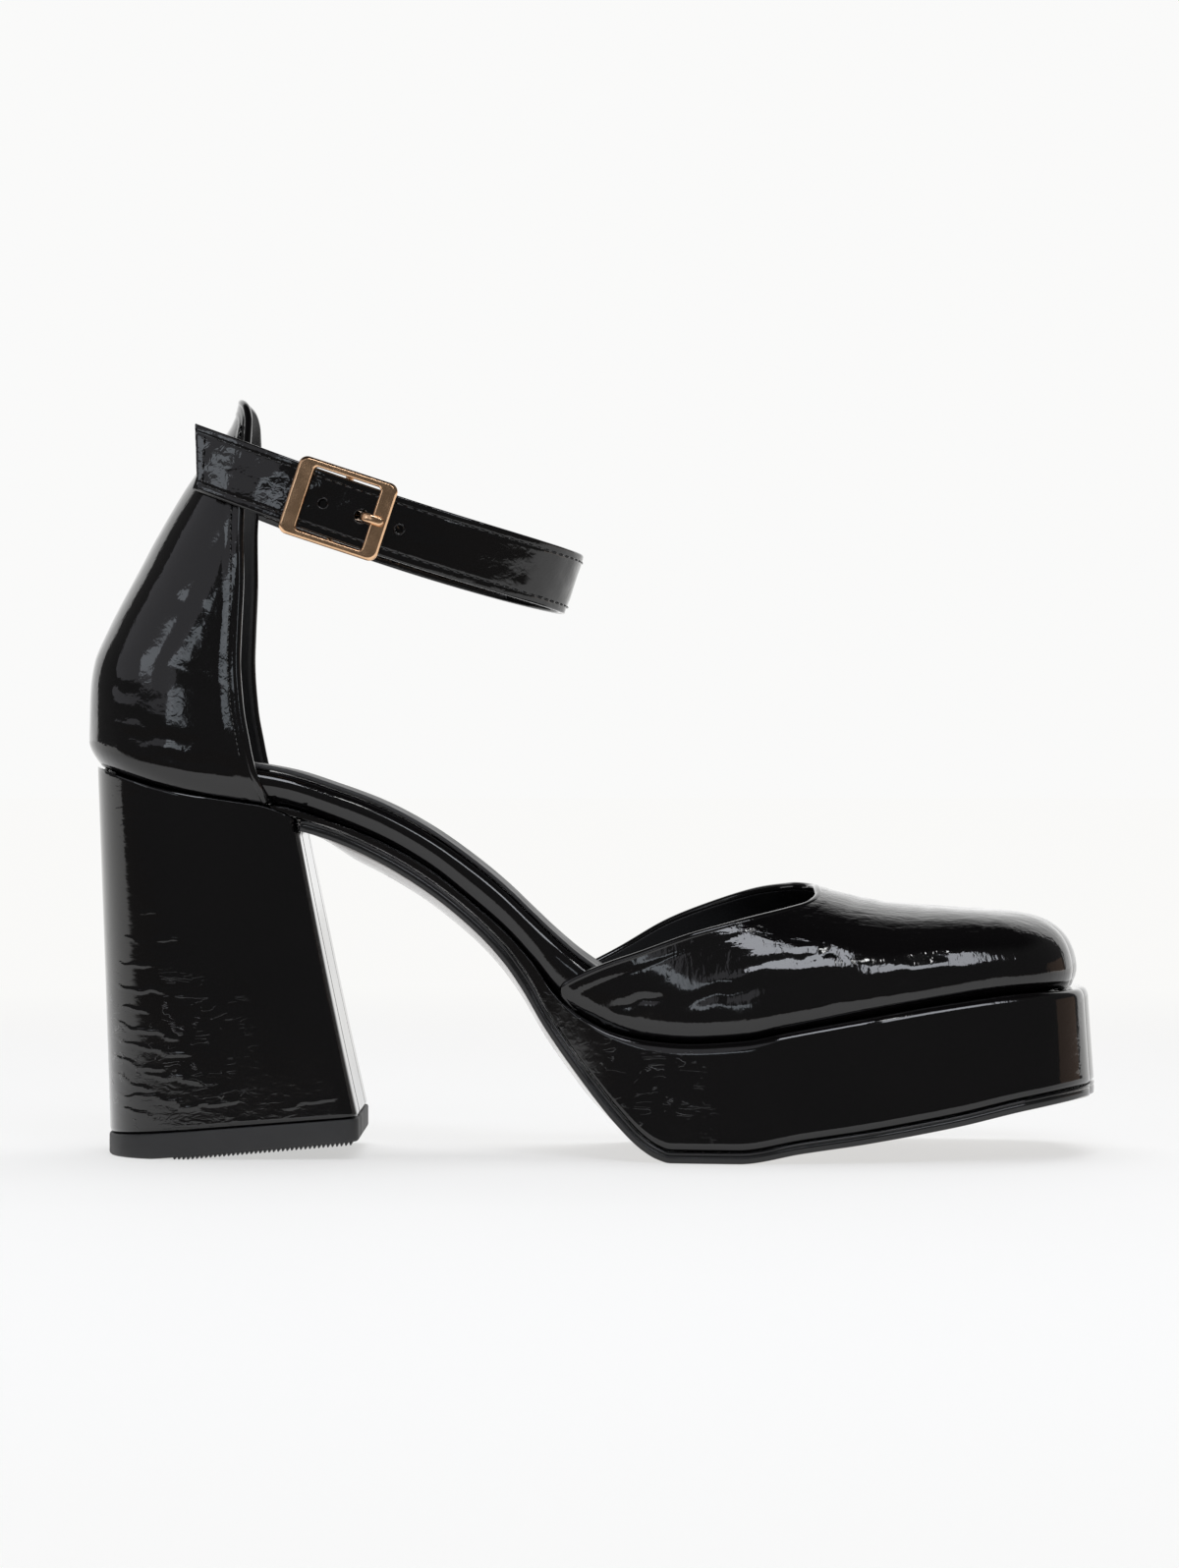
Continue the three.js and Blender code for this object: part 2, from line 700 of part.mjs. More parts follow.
// Front of the upper: a hollow shell, open at the throat and underneath
function vampGeometry() {
  const shell = solidOf(orient(vampBody(0))).subtract(solidOf(orient(vampBody(upperWall))));
  return geometryOf(shell.subtract(solidOf(aboveTopline())));
}

// Height at the back of the seat, and at a share of the way from there to the top of the tab
const seatBack = seatAt(xOf(0)) + clearance;
const levelHeight = (level) => lerp(seatBack, counterTop, level);

// Closed body of the back of the last, ring by ring from the seat to above the tab
function counterBody(wall) {
  const outline = ringOf(planPairs(0, counterFront));
  return loft(counterRows.map((row, k) => {
    const height = levelHeight(row.level);
    const ring = outline.map((point) => (
      new THREE.Vector2(point.x + row.back * lastLength, point.y * row.wide)
    ));
    const inner = insetRing(ring, (x) => wall + curlAt(x, height - seatBack));
    return inner.map((point) => {
      const fall = (seatAt(point.x) + clearance - seatBack) * (1 - row.flat);
      const drop = wall > 0 && k === 0 ? curlHeight : 0;
      const extra = wall > 0 && k === counterRows.length - 1 ? curlHeight : 0;
      return new THREE.Vector3(point.x, point.y, height + fall - drop + extra);
    });
  }));
}

// Back of the upper: a hollow shell with a straight front edge and a round tab
function counterGeometry() {
  const outline = counterEdgeRows.map((row) => [xOf(row.along), levelHeight(row.level)]);
  const low = outline[0][1];
  const high = outline[outline.length - 1][1];
  outline.push([-3 * heelOverhang, high], [-3 * heelOverhang, low]);
  const section = (y) => outline.map(([x, z]) => new THREE.Vector3(x, y, z));
  const keep = prism([section(-ballWidth), section(ballWidth)]);
  const shell = solidOf(orient(counterBody(0))).subtract(solidOf(orient(counterBody(upperWall))));
  return geometryOf(shell.intersect(solidOf(keep)));
}

// Half width of the outside of the counter at a point seen from the side
function counterHalf(x, z) {
  const level = (z - seatBack) / (counterTop - seatBack);
  const along = alongOf(x) - backCurve(level);
  return along > 0 ? halfAt(along, outerCurve) * wideCurve(level) : 0;
}

// Height of the middle of the strap in its own plane, which hangs a little at mid length
function sagAt(u) {
  const share = u / loopLength;
  return -strapSag * 4 * share * (1 - share);
}

// Widest half width of the counter behind a strap at one place along it
function seatSide(u) {
  const tilt = THREE.MathUtils.degToRad(strapTilt);
  let widest = 0;
  for (const share of [-0.5, -0.25, 0, 0.25, 0.5]) {
    const v = sagAt(u) + share * strapWidth;
    const x = tailX + u * Math.cos(tilt) + v * Math.sin(tilt);
    const z = tailZ - u * Math.sin(tilt) + v * Math.cos(tilt);
    widest = Math.max(widest, counterHalf(x, z));
  }
  return widest;
}

// Middle line of a strap of some thickness lying on the counter, front to back
function seatedLine(side, thickness) {
  const spots = seatShares.map((share) => share * loopLength);
  const points = spots.map((u) => new THREE.Vector2(u, seatSide(u)));
  return points.map((point, i) => {
    const before = points[Math.max(0, i - 1)];
    const after = points[Math.min(points.length - 1, i + 1)];
    const run = new THREE.Vector2().subVectors(after, before).normalize();
    const out = clearance + thickness / 2;
    return new THREE.Vector3(point.x + run.y * out, side * (point.y - run.x * out), 0);
  });
}

// Band with softened edges swept along a plan line in the plane of the strap
function bandGeometry(line, thickness, width, steps, slant) {
  const curve = new THREE.CatmullRomCurve3(line, false, 'centripetal');
  const half = [thickness / 2, width / 2];
  const section = [
    [-1, -1, 0, 1], [-1, 1, 0, -1], [-1, 1, 1, 0], [1, 1, -1, 0],
    [1, 1, 0, -1], [1, -1, 0, 1], [1, -1, -1, 0], [-1, -1, 1, 0],
  ].map(([out, up, inset, trim]) => [out * half[0] + inset * strapEdge, up * half[1] + trim * strapEdge]);
  const rings = [];
  for (let i = 0; i <= steps; i += 1) {
    const share = i / steps;
    const spot = curve.getPointAt(share);
    const run = curve.getTangentAt(share);
    const lean = i === 0 ? slant : 0;
    rings.push(section.map(([out, rise]) => {
      const shift = -lean * rise;
      return new THREE.Vector3(
        spot.x + run.y * out + run.x * shift,
        spot.y - run.x * out + run.y * shift,
        sagAt(spot.x) + rise,
      );
    }));
  }
  return orient(loft(rings));
}

// Place of the bar behind the strap, and of the faces of the buckle frame in front of it
const strapFace = loopHalfWidth + strapThickness / 2;
const frameBack = strapFace + clearance;
const foldRadius = barRadius + clearance + buckleStrapThickness;
const barSide = strapFace - strapThickness - clearance - foldRadius;
const prongHole = buckleAlong + prongReach;
const buckleRise = sagAt(buckleAlong);

const moved = (geometry, x, y, z) => geometry.translate(x, y, z);

// Long strap: sewn to the inner side of the counter, round the ankle and out of the buckle
function ankleStrapGeometry() {
  const loop = loopRows.map((row) => (
    new THREE.Vector3(row.along * loopLength, row.side * loopHalfWidth, 0)
  ));
  const line = [...loop, ...seatedLine(1, strapThickness)];
  let solid = solidOf(bandGeometry(line, strapThickness, strapWidth, 64, tailSlant));
  const depth = 4 * strapThickness;
  for (const step of [-1, 1]) {
    const hole = new THREE.CylinderGeometry(holeRadius, holeRadius, depth, 16);
    const along = prongHole + step * holePitch;
    solid = solid.subtract(solidOf(moved(hole, along, -loopHalfWidth, sagAt(along))));
  }
  const slotLength = 2 * (prongThickness + 3 * clearance);
  const slotWidth = prongWidth + 2 * clearance + strapEdge;
  const slot = new THREE.BoxGeometry(slotLength, depth, slotWidth);
  return geometryOf(solid.subtract(solidOf(moved(slot, prongHole, -loopHalfWidth, sagAt(prongHole)))));
}

// Flat ring round the bar, the height of a strap or of the prong
function ringGeometry(inner, outer, height) {
  const shape = new THREE.Shape();
  shape.absarc(0, 0, outer, 0, Math.PI * 2, false);
  const hole = new THREE.Path();
  hole.absarc(0, 0, inner, 0, Math.PI * 2, true);
  shape.holes.push(hole);
  const ring = new THREE.ExtrudeGeometry(shape, { depth: height, bevelEnabled: false, curveSegments: 10 });
  return moved(ring, buckleAlong, -barSide, buckleRise - height / 2);
}

// Short strap: sewn to the outer side of the counter and folded round the bar of the buckle
function buckleStrapGeometry() {
  const thickness = buckleStrapThickness;
  const front = barSide + foldRadius - thickness / 2;
  const line = [
    new THREE.Vector3(buckleAlong, -front, 0),
    new THREE.Vector3(buckleAlong - 0.4 * strapWidth, -front, 0),
    new THREE.Vector3(buckleAlong - 0.85 * strapWidth, -front + strapEdge, 0),
    ...seatedLine(-1, thickness),
  ];
  const band = bandGeometry(line, thickness, strapWidth, 20, 0);
  const fold = ringGeometry(barRadius + clearance, foldRadius, strapWidth - strapEdge);
  const slotLength = 2 * (foldRadius + barRadius);
  const slot = new THREE.BoxGeometry(slotLength, 4 * foldRadius, prongWidth + 2 * clearance);
  return geometryOf(solidOf(band).add(solidOf(fold)).subtract(
    solidOf(moved(slot, buckleAlong + strapEdge, -barSide, buckleRise)),
  ));
}

function roundedRect(length, width, corner) {
  const shape = new THREE.Shape();
  const x = length / 2 - corner;
  const y = width / 2 - corner;
  shape.absarc(x, y, corner, 0, Math.PI / 2, false);
  shape.absarc(-x, y, corner, Math.PI / 2, Math.PI, false);
  shape.absarc(-x, -y, corner, Math.PI, Math.PI * 1.5, false);
  shape.absarc(x, -y, corner, Math.PI * 1.5, Math.PI * 2, false);
  return shape;
}

// Flat square frame with the hidden bar that the straps hang on
function buckleFrameGeometry() {
  const shape = roundedRect(frameLength, frameWidth, frameCorner);
  const postWidth = (frameWidth - strapWidth) / 2 - clearance;
  const windowWidth = frameWidth - 2 * postWidth;
  shape.holes.push(roundedRect(windowLength, windowWidth, windowCorner));
  const plate = new THREE.ExtrudeGeometry(shape, {
    depth: frameThickness - 2 * frameBevel,
    bevelThickness: frameBevel,
    bevelSize: frameBevel,
    bevelOffset: -frameBevel,
    bevelSegments: 2,
    curveSegments: 4,
  });
  plate.rotateX(Math.PI / 2);
  let solid = solidOf(moved(plate, buckleAlong, -frameBack - frameBevel, buckleRise));
  const reach = frameBack + frameThickness / 2 - barSide + barRadius;
  for (const side of [-1, 1]) {
    const post = new THREE.BoxGeometry(2.4 * barRadius, reach, postWidth - frameBevel / 3);
    const rise = buckleRise + side * (frameWidth - postWidth) / 2;
    solid = solid.add(solidOf(moved(post, buckleAlong, -barSide + barRadius - reach / 2, rise)));
  }
  const bar = new THREE.CylinderGeometry(barRadius, barRadius, frameWidth - postWidth, 20);
  bar.rotateX(Math.PI / 2);
  return geometryOf(solid.add(solidOf(moved(bar, buckleAlong, -barSide, buckleRise))));
}

// Outline of a bent pin of even thickness round its middle line
function pinShape(points, thickness) {
  const edge = (sign) => points.map((point, i) => {
    const before = points[Math.max(0, i - 1)];
    const after = points[Math.min(points.length - 1, i + 1)];
    const run = new THREE.Vector2().subVectors(after, before).normalize();
    return new THREE.Vector2(point.x - sign * run.y * thickness / 2, point.y + sign * run.x * thickness / 2);
  });
  return new THREE.Shape([...edge(-1), ...edge(1).reverse()]);
}

// Prong: a ring on the bar and a pin that comes out of the hole and rests on the frame
function buckleProngGeometry() {
  const hub = barRadius + clearance + hubWall;
  const rest = frameBack + frameThickness + clearance + prongThickness / 2;
  const start = barSide + hub - prongThickness / 2;
  const climb = rest - start;
  const rows = [
    { reach: -prongReach, rise: 0 },
    { reach: -1.1 * prongWidth, rise: 0.02 },
    { reach: -0.18 * prongWidth, rise: 0.28 },
    { reach: 0.41 * prongWidth, rise: 0.875 },
    { reach: prongWidth, rise: 1 },
    { reach: frameLength / 2 - prongReach - hubWall, rise: 1 },
  ];
  const points = rows.map((row) => new THREE.Vector2(prongHole + row.reach, -start - row.rise * climb));
  const shape = pinShape(points, prongThickness);
  const pin = new THREE.ExtrudeGeometry(shape, { depth: prongWidth, bevelEnabled: false });
  const ring = solidOf(ringGeometry(barRadius + clearance, hub, prongWidth));
  const arm = solidOf(moved(pin, 0, 0, buckleRise - prongWidth / 2));
  const bore = new THREE.CylinderGeometry(barRadius + clearance, barRadius + clearance, 2 * prongWidth, 20);
  bore.rotateX(Math.PI / 2);
  return geometryOf(ring.add(arm).subtract(solidOf(moved(bore, buckleAlong, -barSide, buckleRise))));
}

const shoe = new THREE.Group();
const strapPlane = new THREE.Group();
strapPlane.position.set(tailX, 0, tailZ);
strapPlane.rotation.y = THREE.MathUtils.degToRad(strapTilt);
shoe.add(strapPlane);

function addMesh(parent, name, geometry, look) {
  geometry.computeVertexNormals();
  const mesh = new THREE.Mesh(geometry, new THREE.MeshStandardMaterial(look));
  mesh.name = name;
  parent.add(mesh);
}

const patent = () => ({ color: 0x0b0b0d, roughness: 0.12, metalness: 0 });
const rubber = () => ({ color: 0x1a1a1b, roughness: 0.7, metalness: 0 });
const lining = () => ({ color: 0x2b2a2c, roughness: 0.6, metalness: 0 });
const paleGold = () => ({ color: 0xd9b48a, roughness: 0.2, metalness: 1 });

addMesh(shoe, 'heel_lift', orient(heelLiftGeometry()), rubber());
addMesh(shoe, 'heel_block', orient(heelBlockGeometry()), patent());
addMesh(shoe, 'outsole', orient(outsoleGeometry()), rubber());
addMesh(shoe, 'platform', orient(platformGeometry()), patent());
addMesh(shoe, 'insole_board', orient(boardGeometry()), patent());
addMesh(shoe, 'sock_lining', orient(sockGeometry()), lining());
addMesh(shoe, 'vamp', vampGeometry(), patent());
addMesh(shoe, 'counter', counterGeometry(), patent());
addMesh(strapPlane, 'ankle_strap', ankleStrapGeometry(), patent());
addMesh(strapPlane, 'buckle_strap', buckleStrapGeometry(), patent());
addMesh(strapPlane, 'buckle_frame', buckleFrameGeometry(), paleGold());
addMesh(strapPlane, 'buckle_prong', buckleProngGeometry(), paleGold());

export default shoe;
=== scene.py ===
# Platform shoe with a square toe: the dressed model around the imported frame.
# Lengths in the tables and functions are millimetres in the frame of the part; meshes are made in metres.
import json
import math

import bpy
import numpy as np
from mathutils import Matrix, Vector, noise


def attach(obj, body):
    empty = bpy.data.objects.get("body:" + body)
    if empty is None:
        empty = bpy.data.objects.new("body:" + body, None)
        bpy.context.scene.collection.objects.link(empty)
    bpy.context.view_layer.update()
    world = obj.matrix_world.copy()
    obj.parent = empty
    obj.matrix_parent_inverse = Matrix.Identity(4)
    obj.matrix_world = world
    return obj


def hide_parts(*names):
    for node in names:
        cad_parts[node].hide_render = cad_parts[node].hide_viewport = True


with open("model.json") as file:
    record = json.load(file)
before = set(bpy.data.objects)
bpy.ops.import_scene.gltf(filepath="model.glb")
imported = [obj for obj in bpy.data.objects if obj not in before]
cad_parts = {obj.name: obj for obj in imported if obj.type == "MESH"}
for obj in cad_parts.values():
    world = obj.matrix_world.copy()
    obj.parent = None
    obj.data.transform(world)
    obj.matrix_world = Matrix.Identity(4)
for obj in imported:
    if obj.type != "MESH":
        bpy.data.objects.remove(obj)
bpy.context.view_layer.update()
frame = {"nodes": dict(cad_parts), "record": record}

MM = 0.001
LENGTH = 243.6
OVERHANG = 12.4
BALL = 81.0
SEAT = 86.0
VAMP_HEIGHT = 66.3
GAP = 0.3
WALL = 1.8
LINING = 0.42
OUTSOLE = 2.7
TOE_CORNER = 15.0
TOE_CROWN = 2.2
HEEL_ROUND = 27.0
HEEL_POWER = 2.3
LEDGE = 2.6
FLARE = 1.6
WAIST_INSET = 2.8
EDGE_ROUND = 1.4
ARCH_BULGE = 3.2
SEAT_CURL = 3.2
VAMP_CURL = 1.4
CURL_HEIGHT = 5.0
COUNTER_TOP = 186.4

# along, footbed, seam under it
BED = [
    (0.000, 1.233, 1.130), (0.024, 1.200, 1.103), (0.071, 1.158, 1.062), (0.119, 1.130, 1.033),
    (0.161, 1.113, 1.014), (0.206, 1.090, 0.995), (0.253, 1.048, 0.953), (0.300, 0.998, 0.900),
    (0.348, 0.926, 0.824), (0.395, 0.833, 0.721), (0.427, 0.758, 0.642), (0.454, 0.685, 0.557),
    (0.476, 0.626, 0.470), (0.502, 0.563, 0.409), (0.535, 0.499, 0.363), (0.569, 0.444, 0.341),
    (0.608, 0.406, 0.333), (0.666, 0.402, 0.343), (0.705, 0.421, 0.365), (0.787, 0.460, 0.407),
    (0.868, 0.498, 0.445), (0.950, 0.526, 0.473), (1.000, 0.535, 0.479),
]
# along, underside
TREAD = [
    (0.166, 0.963), (0.219, 0.931), (0.253, 0.902), (0.300, 0.841), (0.348, 0.757), (0.395, 0.648),
    (0.424, 0.560), (0.442, 0.487), (0.466, 0.372), (0.501, 0.233), (0.537, 0.106), (0.562, 0.037),
    (0.578, 0.010), (0.591, 0.000), (0.658, 0.000), (0.720, 0.029), (0.783, 0.055), (0.876, 0.101),
    (0.950, 0.147), (1.000, 0.170), (1.024, 0.177),
]
# along, outer half width, inner half width
PLAN = [
    (0.000, 0.345, 0.345), (0.080, 0.352, 0.350), (0.150, 0.352, 0.345), (0.250, 0.340, 0.322),
    (0.350, 0.328, 0.292), (0.450, 0.345, 0.285), (0.550, 0.410, 0.345), (0.630, 0.465, 0.425),
    (0.700, 0.490, 0.482), (0.770, 0.482, 0.505), (0.850, 0.446, 0.497), (0.930, 0.396, 0.468),
    (1.000, 0.352, 0.440),
]
# along, ridge height, squareness of the section
RIDGE = [
    (0.430, 1.620, 2.8), (0.520, 1.420, 2.6), (0.640, 1.150, 2.3), (0.700, 1.042, 2.3), (0.743, 1.000, 2.4),
    (0.775, 0.970, 2.5), (0.817, 0.940, 2.6), (0.860, 0.922, 2.8), (0.900, 0.910, 3.0), (1.000, 0.900, 3.1),
]
# outer along, outer rise, inner along, inner rise
TOPLINE = [
    (0.4975, 0.450, 0.4975, 0.450), (0.4920, 0.555, 0.4920, 0.555), (0.4830, 0.612, 0.4850, 0.610),
    (0.4845, 0.634, 0.4870, 0.636), (0.5200, 0.701, 0.5150, 0.690), (0.5640, 0.759, 0.5450, 0.748),
    (0.6090, 0.820, 0.5920, 0.849), (0.6430, 0.856, 0.6400, 0.922), (0.6760, 0.889, 0.6860, 0.979),
    (0.7110, 0.921, 0.7150, 0.999), (0.7320, 0.944, 0.7310, 1.007), (0.7430, 0.975, 0.7420, 1.012),
    (0.7465, 1.030, 0.7465, 1.040),
]
# level, back line, width, how level the ring lies
COUNTER = [
    (0.000, 0.0000, 1.000, 0.00), (0.008, 0.0000, 1.000, 0.02), (0.020, 0.0000, 1.000, 0.04),
    (0.034, 0.0000, 1.000, 0.07), (0.056, 0.0000, 1.001, 0.12), (0.119, 0.0004, 0.998, 0.30),
    (0.203, 0.0016, 0.975, 0.55), (0.277, 0.0057, 0.955, 0.75), (0.350, 0.0168, 0.940, 0.90),
    (0.434, 0.0324, 0.925, 1.00), (0.539, 0.0530, 0.912, 1.00), (0.643, 0.0735, 0.900, 1.00),
    (0.748, 0.0960, 0.890, 1.00), (0.853, 0.1227, 0.880, 1.00), (0.937, 0.1453, 0.870, 1.00),
    (1.063, 0.1600, 0.850, 1.00),
]
# level, front edge of the counter
COUNTER_EDGE = [
    (-0.300, 0.2150), (-0.119, 0.1850), (-0.013, 0.1720), (0.054, 0.1670), (0.151, 0.1610), (0.278, 0.1580),
    (0.358, 0.1590), (0.506, 0.1610), (0.628, 0.1605), (0.791, 0.1630), (0.895, 0.1650), (0.942, 0.1645),
    (0.973, 0.1620), (0.990, 0.1580), (0.998, 0.1545),
]


def curve(rows, column):
    """Smooth curve through one column of a table against its first, without overshoot."""
    xs = [row[0] for row in rows]
    ys = [row[column] for row in rows]
    slopes = [(ys[i + 1] - ys[i]) / (xs[i + 1] - xs[i]) for i in range(len(xs) - 1)]
    tangents = [slopes[0]]
    for i in range(1, len(xs) - 1):
        one, two = slopes[i - 1], slopes[i]
        tangents.append(0.0 if one * two <= 0 else 2 * one * two / (one + two))
    tangents.append(slopes[-1])

    def at(share):
        i = 0
        while i < len(xs) - 2 and share > xs[i + 1]:
            i += 1
        span = xs[i + 1] - xs[i]
        t = (share - xs[i]) / span
        if t < 0:
            return ys[0] + tangents[0] * t * span
        if t > 1:
            return ys[i + 1] + tangents[i + 1] * (t - 1) * span
        ease = t * t * (3 - 2 * t)
        bend = tangents[i] * (1 - t) - tangents[i + 1] * t
        return ys[i] + (ys[i + 1] - ys[i]) * ease + span * t * (1 - t) * bend

    return at


bed_curve = curve(BED, 1)
seat_curve = curve(BED, 2)
tread_curve = curve(TREAD, 1)
outer_curve = curve(PLAN, 1)
inner_curve = curve(PLAN, 2)
ridge_curve = curve(RIDGE, 1)
square_curve = curve(RIDGE, 2)
back_curve = curve(COUNTER, 1)
wide_curve = curve(COUNTER, 2)
flat_curve = curve(COUNTER, 3)
edge_curve = curve(COUNTER_EDGE, 1)


def along_of(x):
    return (x + OVERHANG) / LENGTH


def x_of(along):
    return along * LENGTH - OVERHANG


def lerp(a, b, t):
    return a + (b - a) * t


def smooth(value, low, high):
    t = min(1.0, max(0.0, (value - low) / (high - low)))
    return t * t * (3 - 2 * t)


def bed_at(x):
    return bed_curve(along_of(x)) * SEAT


def seat_at(x):
    return seat_curve(along_of(x)) * SEAT


def tread_at(x):
    return tread_curve(along_of(x)) * SEAT


def ridge_at(x):
    return ridge_curve(along_of(x)) * VAMP_HEIGHT


SLOPE_REACH = 1.5


def upright(height_at, x, thickness):
    """Upright height of a layer that is this thick square to its slope."""
    slope = (height_at(x + SLOPE_REACH) - height_at(x - SLOPE_REACH)) / (2 * SLOPE_REACH)
    return thickness * math.hypot(1, slope)


def layer_at(x):
    """Height of what lies under the platform: the heel, and ahead of it the outsole."""
    on_sole = tread_at(x) + upright(tread_at, x, OUTSOLE)
    return lerp(seat_at(x) - GAP, on_sole, smooth(along_of(x), 0.175, 0.222))


def half_at(along, side_curve):
    round_share = HEEL_ROUND / LENGTH
    corner_share = TOE_CORNER / LENGTH
    half = side_curve(along) * BALL
    if along < round_share:
        t = 1 - max(0.0, along) / round_share
        half *= (1 - t ** HEEL_POWER) ** (1 / HEEL_POWER)
    if along > 1 - corner_share:
        t = (along - 1 + corner_share) / corner_share
        half -= TOE_CORNER * (1 - math.sqrt(max(0.0, 1 - t * t)))
    return half


def station_list():
    """Shares of the length where fine sections are taken."""
    stations = [HEEL_ROUND / LENGTH * (i / 26) ** HEEL_POWER for i in range(1, 27)]
    for up_to, steps in ((0.39, 46), (0.60, 60), (0.80, 34), (1 - TOE_CORNER / LENGTH, 26)):
        start = stations[-1]
        stations += [lerp(start, up_to, i / steps) for i in range(1, steps + 1)]
    corner = 1 - stations[-1]
    stations += [1 - corner + corner * math.sin(i / 16 * math.pi / 2) for i in range(1, 16)]
    return stations


STATIONS = station_list()
TOE_TIPS = [0.96 - 0.08 * i for i in range(12)]
CLOSE = 0.0008


def pair_at(along):
    """x, outer y and inner y of the plan at a share of the length."""
    return x_of(along), -half_at(along, outer_curve), half_at(along, inner_curve)


def crown_pairs(last, shares):
    """Rows that close the toe with a slight crown."""
    return [(last[0] + TOE_CROWN * (1 - t * t), last[1] * t, last[2] * t) for t in shares]


def plan_pairs(start, end):
    """Rows of x, outer y and inner y between two shares of the length."""
    alongs = [a for a in STATIONS if start + CLOSE < a < end - CLOSE]
    if start > 0:
        alongs.insert(0, start)
    pairs = [pair_at(a) for a in alongs + [end]]
    if start <= 0:
        x, outer, inner = pairs[0]
        tips = [(lerp(x_of(0), x, t ** HEEL_POWER), outer * t, inner * t) for t in (0.12, 0.4, 0.7)]
        pairs = tips + pairs
    if end >= 1:
        pairs += crown_pairs(pairs[-1], TOE_TIPS)
    return pairs


def ring_of(pairs):
    outer = [(p[0], p[1]) for p in pairs]
    inner = [(p[0], p[2]) for p in reversed(pairs)]
    return np.array(outer + inner, float)


def unit(rows):
    """Each row at length one."""
    return rows / np.maximum(1e-9, np.linalg.norm(rows, axis=1))[:, None]


def inset_ring(ring, distance_at):
    run = unit(unit(ring - np.roll(ring, 1, axis=0)) + unit(np.roll(ring, -1, axis=0) - ring))
    distance = np.array([distance_at(x) for x in ring[:, 0]])
    return ring + np.stack([-run[:, 1] * distance, run[:, 0] * distance], axis=1)


def lift_ring(ring, height_at):
    return np.column_stack([ring, [height_at(x) for x in ring[:, 0]]])


def ring_at(outline, inset_at, height_at):
    """Ring at a height, inset from an outline."""
    return lift_ring(inset_ring(outline, inset_at), height_at)


def mesh_piece(name, points, faces):
    """Mesh object from points in millimetres."""
    mesh = bpy.data.meshes.new(name)
    mesh.from_pydata([tuple(p * MM) for p in np.asarray(points, float)], [], faces)
    piece = bpy.data.objects.new(name, mesh)
    bpy.context.scene.collection.objects.link(piece)
    return piece


def build(name, points, faces, slot, node):
    """Smooth piece that rides on the one body, in a slot, and replaces a node."""
    piece = mesh_piece(name, points, faces)
    piece.data.update()
    piece.data.shade_smooth()
    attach(piece, "root")
    piece.data.materials.append(FINISHES.get(name, MATERIALS[slot]))
    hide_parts(node)
    return piece


def grid_faces(rows, columns, wrap=False, closed=False):
    """Quads in a grid of points. wrap joins the ends of each row, closed the last row to the first."""
    faces = []
    for i in range(rows - (0 if closed else 1)):
        n = (i + 1) % rows
        for j in range(columns - (0 if wrap else 1)):
            k = (j + 1) % columns
            faces.append((i * columns + j, i * columns + k, n * columns + k, n * columns + j))
    return faces


def loft_faces(rings, count):
    faces = grid_faces(rings, count, wrap=True)
    last = (rings - 1) * count
    for i in range(count // 2 - 1):
        faces.append((i, count - 1 - i, count - 2 - i, i + 1))
        faces.append((last + i, last + i + 1, last + count - 2 - i, last + count - 1 - i))
    return faces


def loft(name, rings, slot, node):
    build(name, np.concatenate(rings), loft_faces(len(rings), len(rings[0])), slot, node)


def curl_at(x, rise):
    share = max(0.0, 1 - rise / CURL_HEIGHT)
    return share * share * lerp(SEAT_CURL, VAMP_CURL, smooth(along_of(x), 0.15, 0.45))


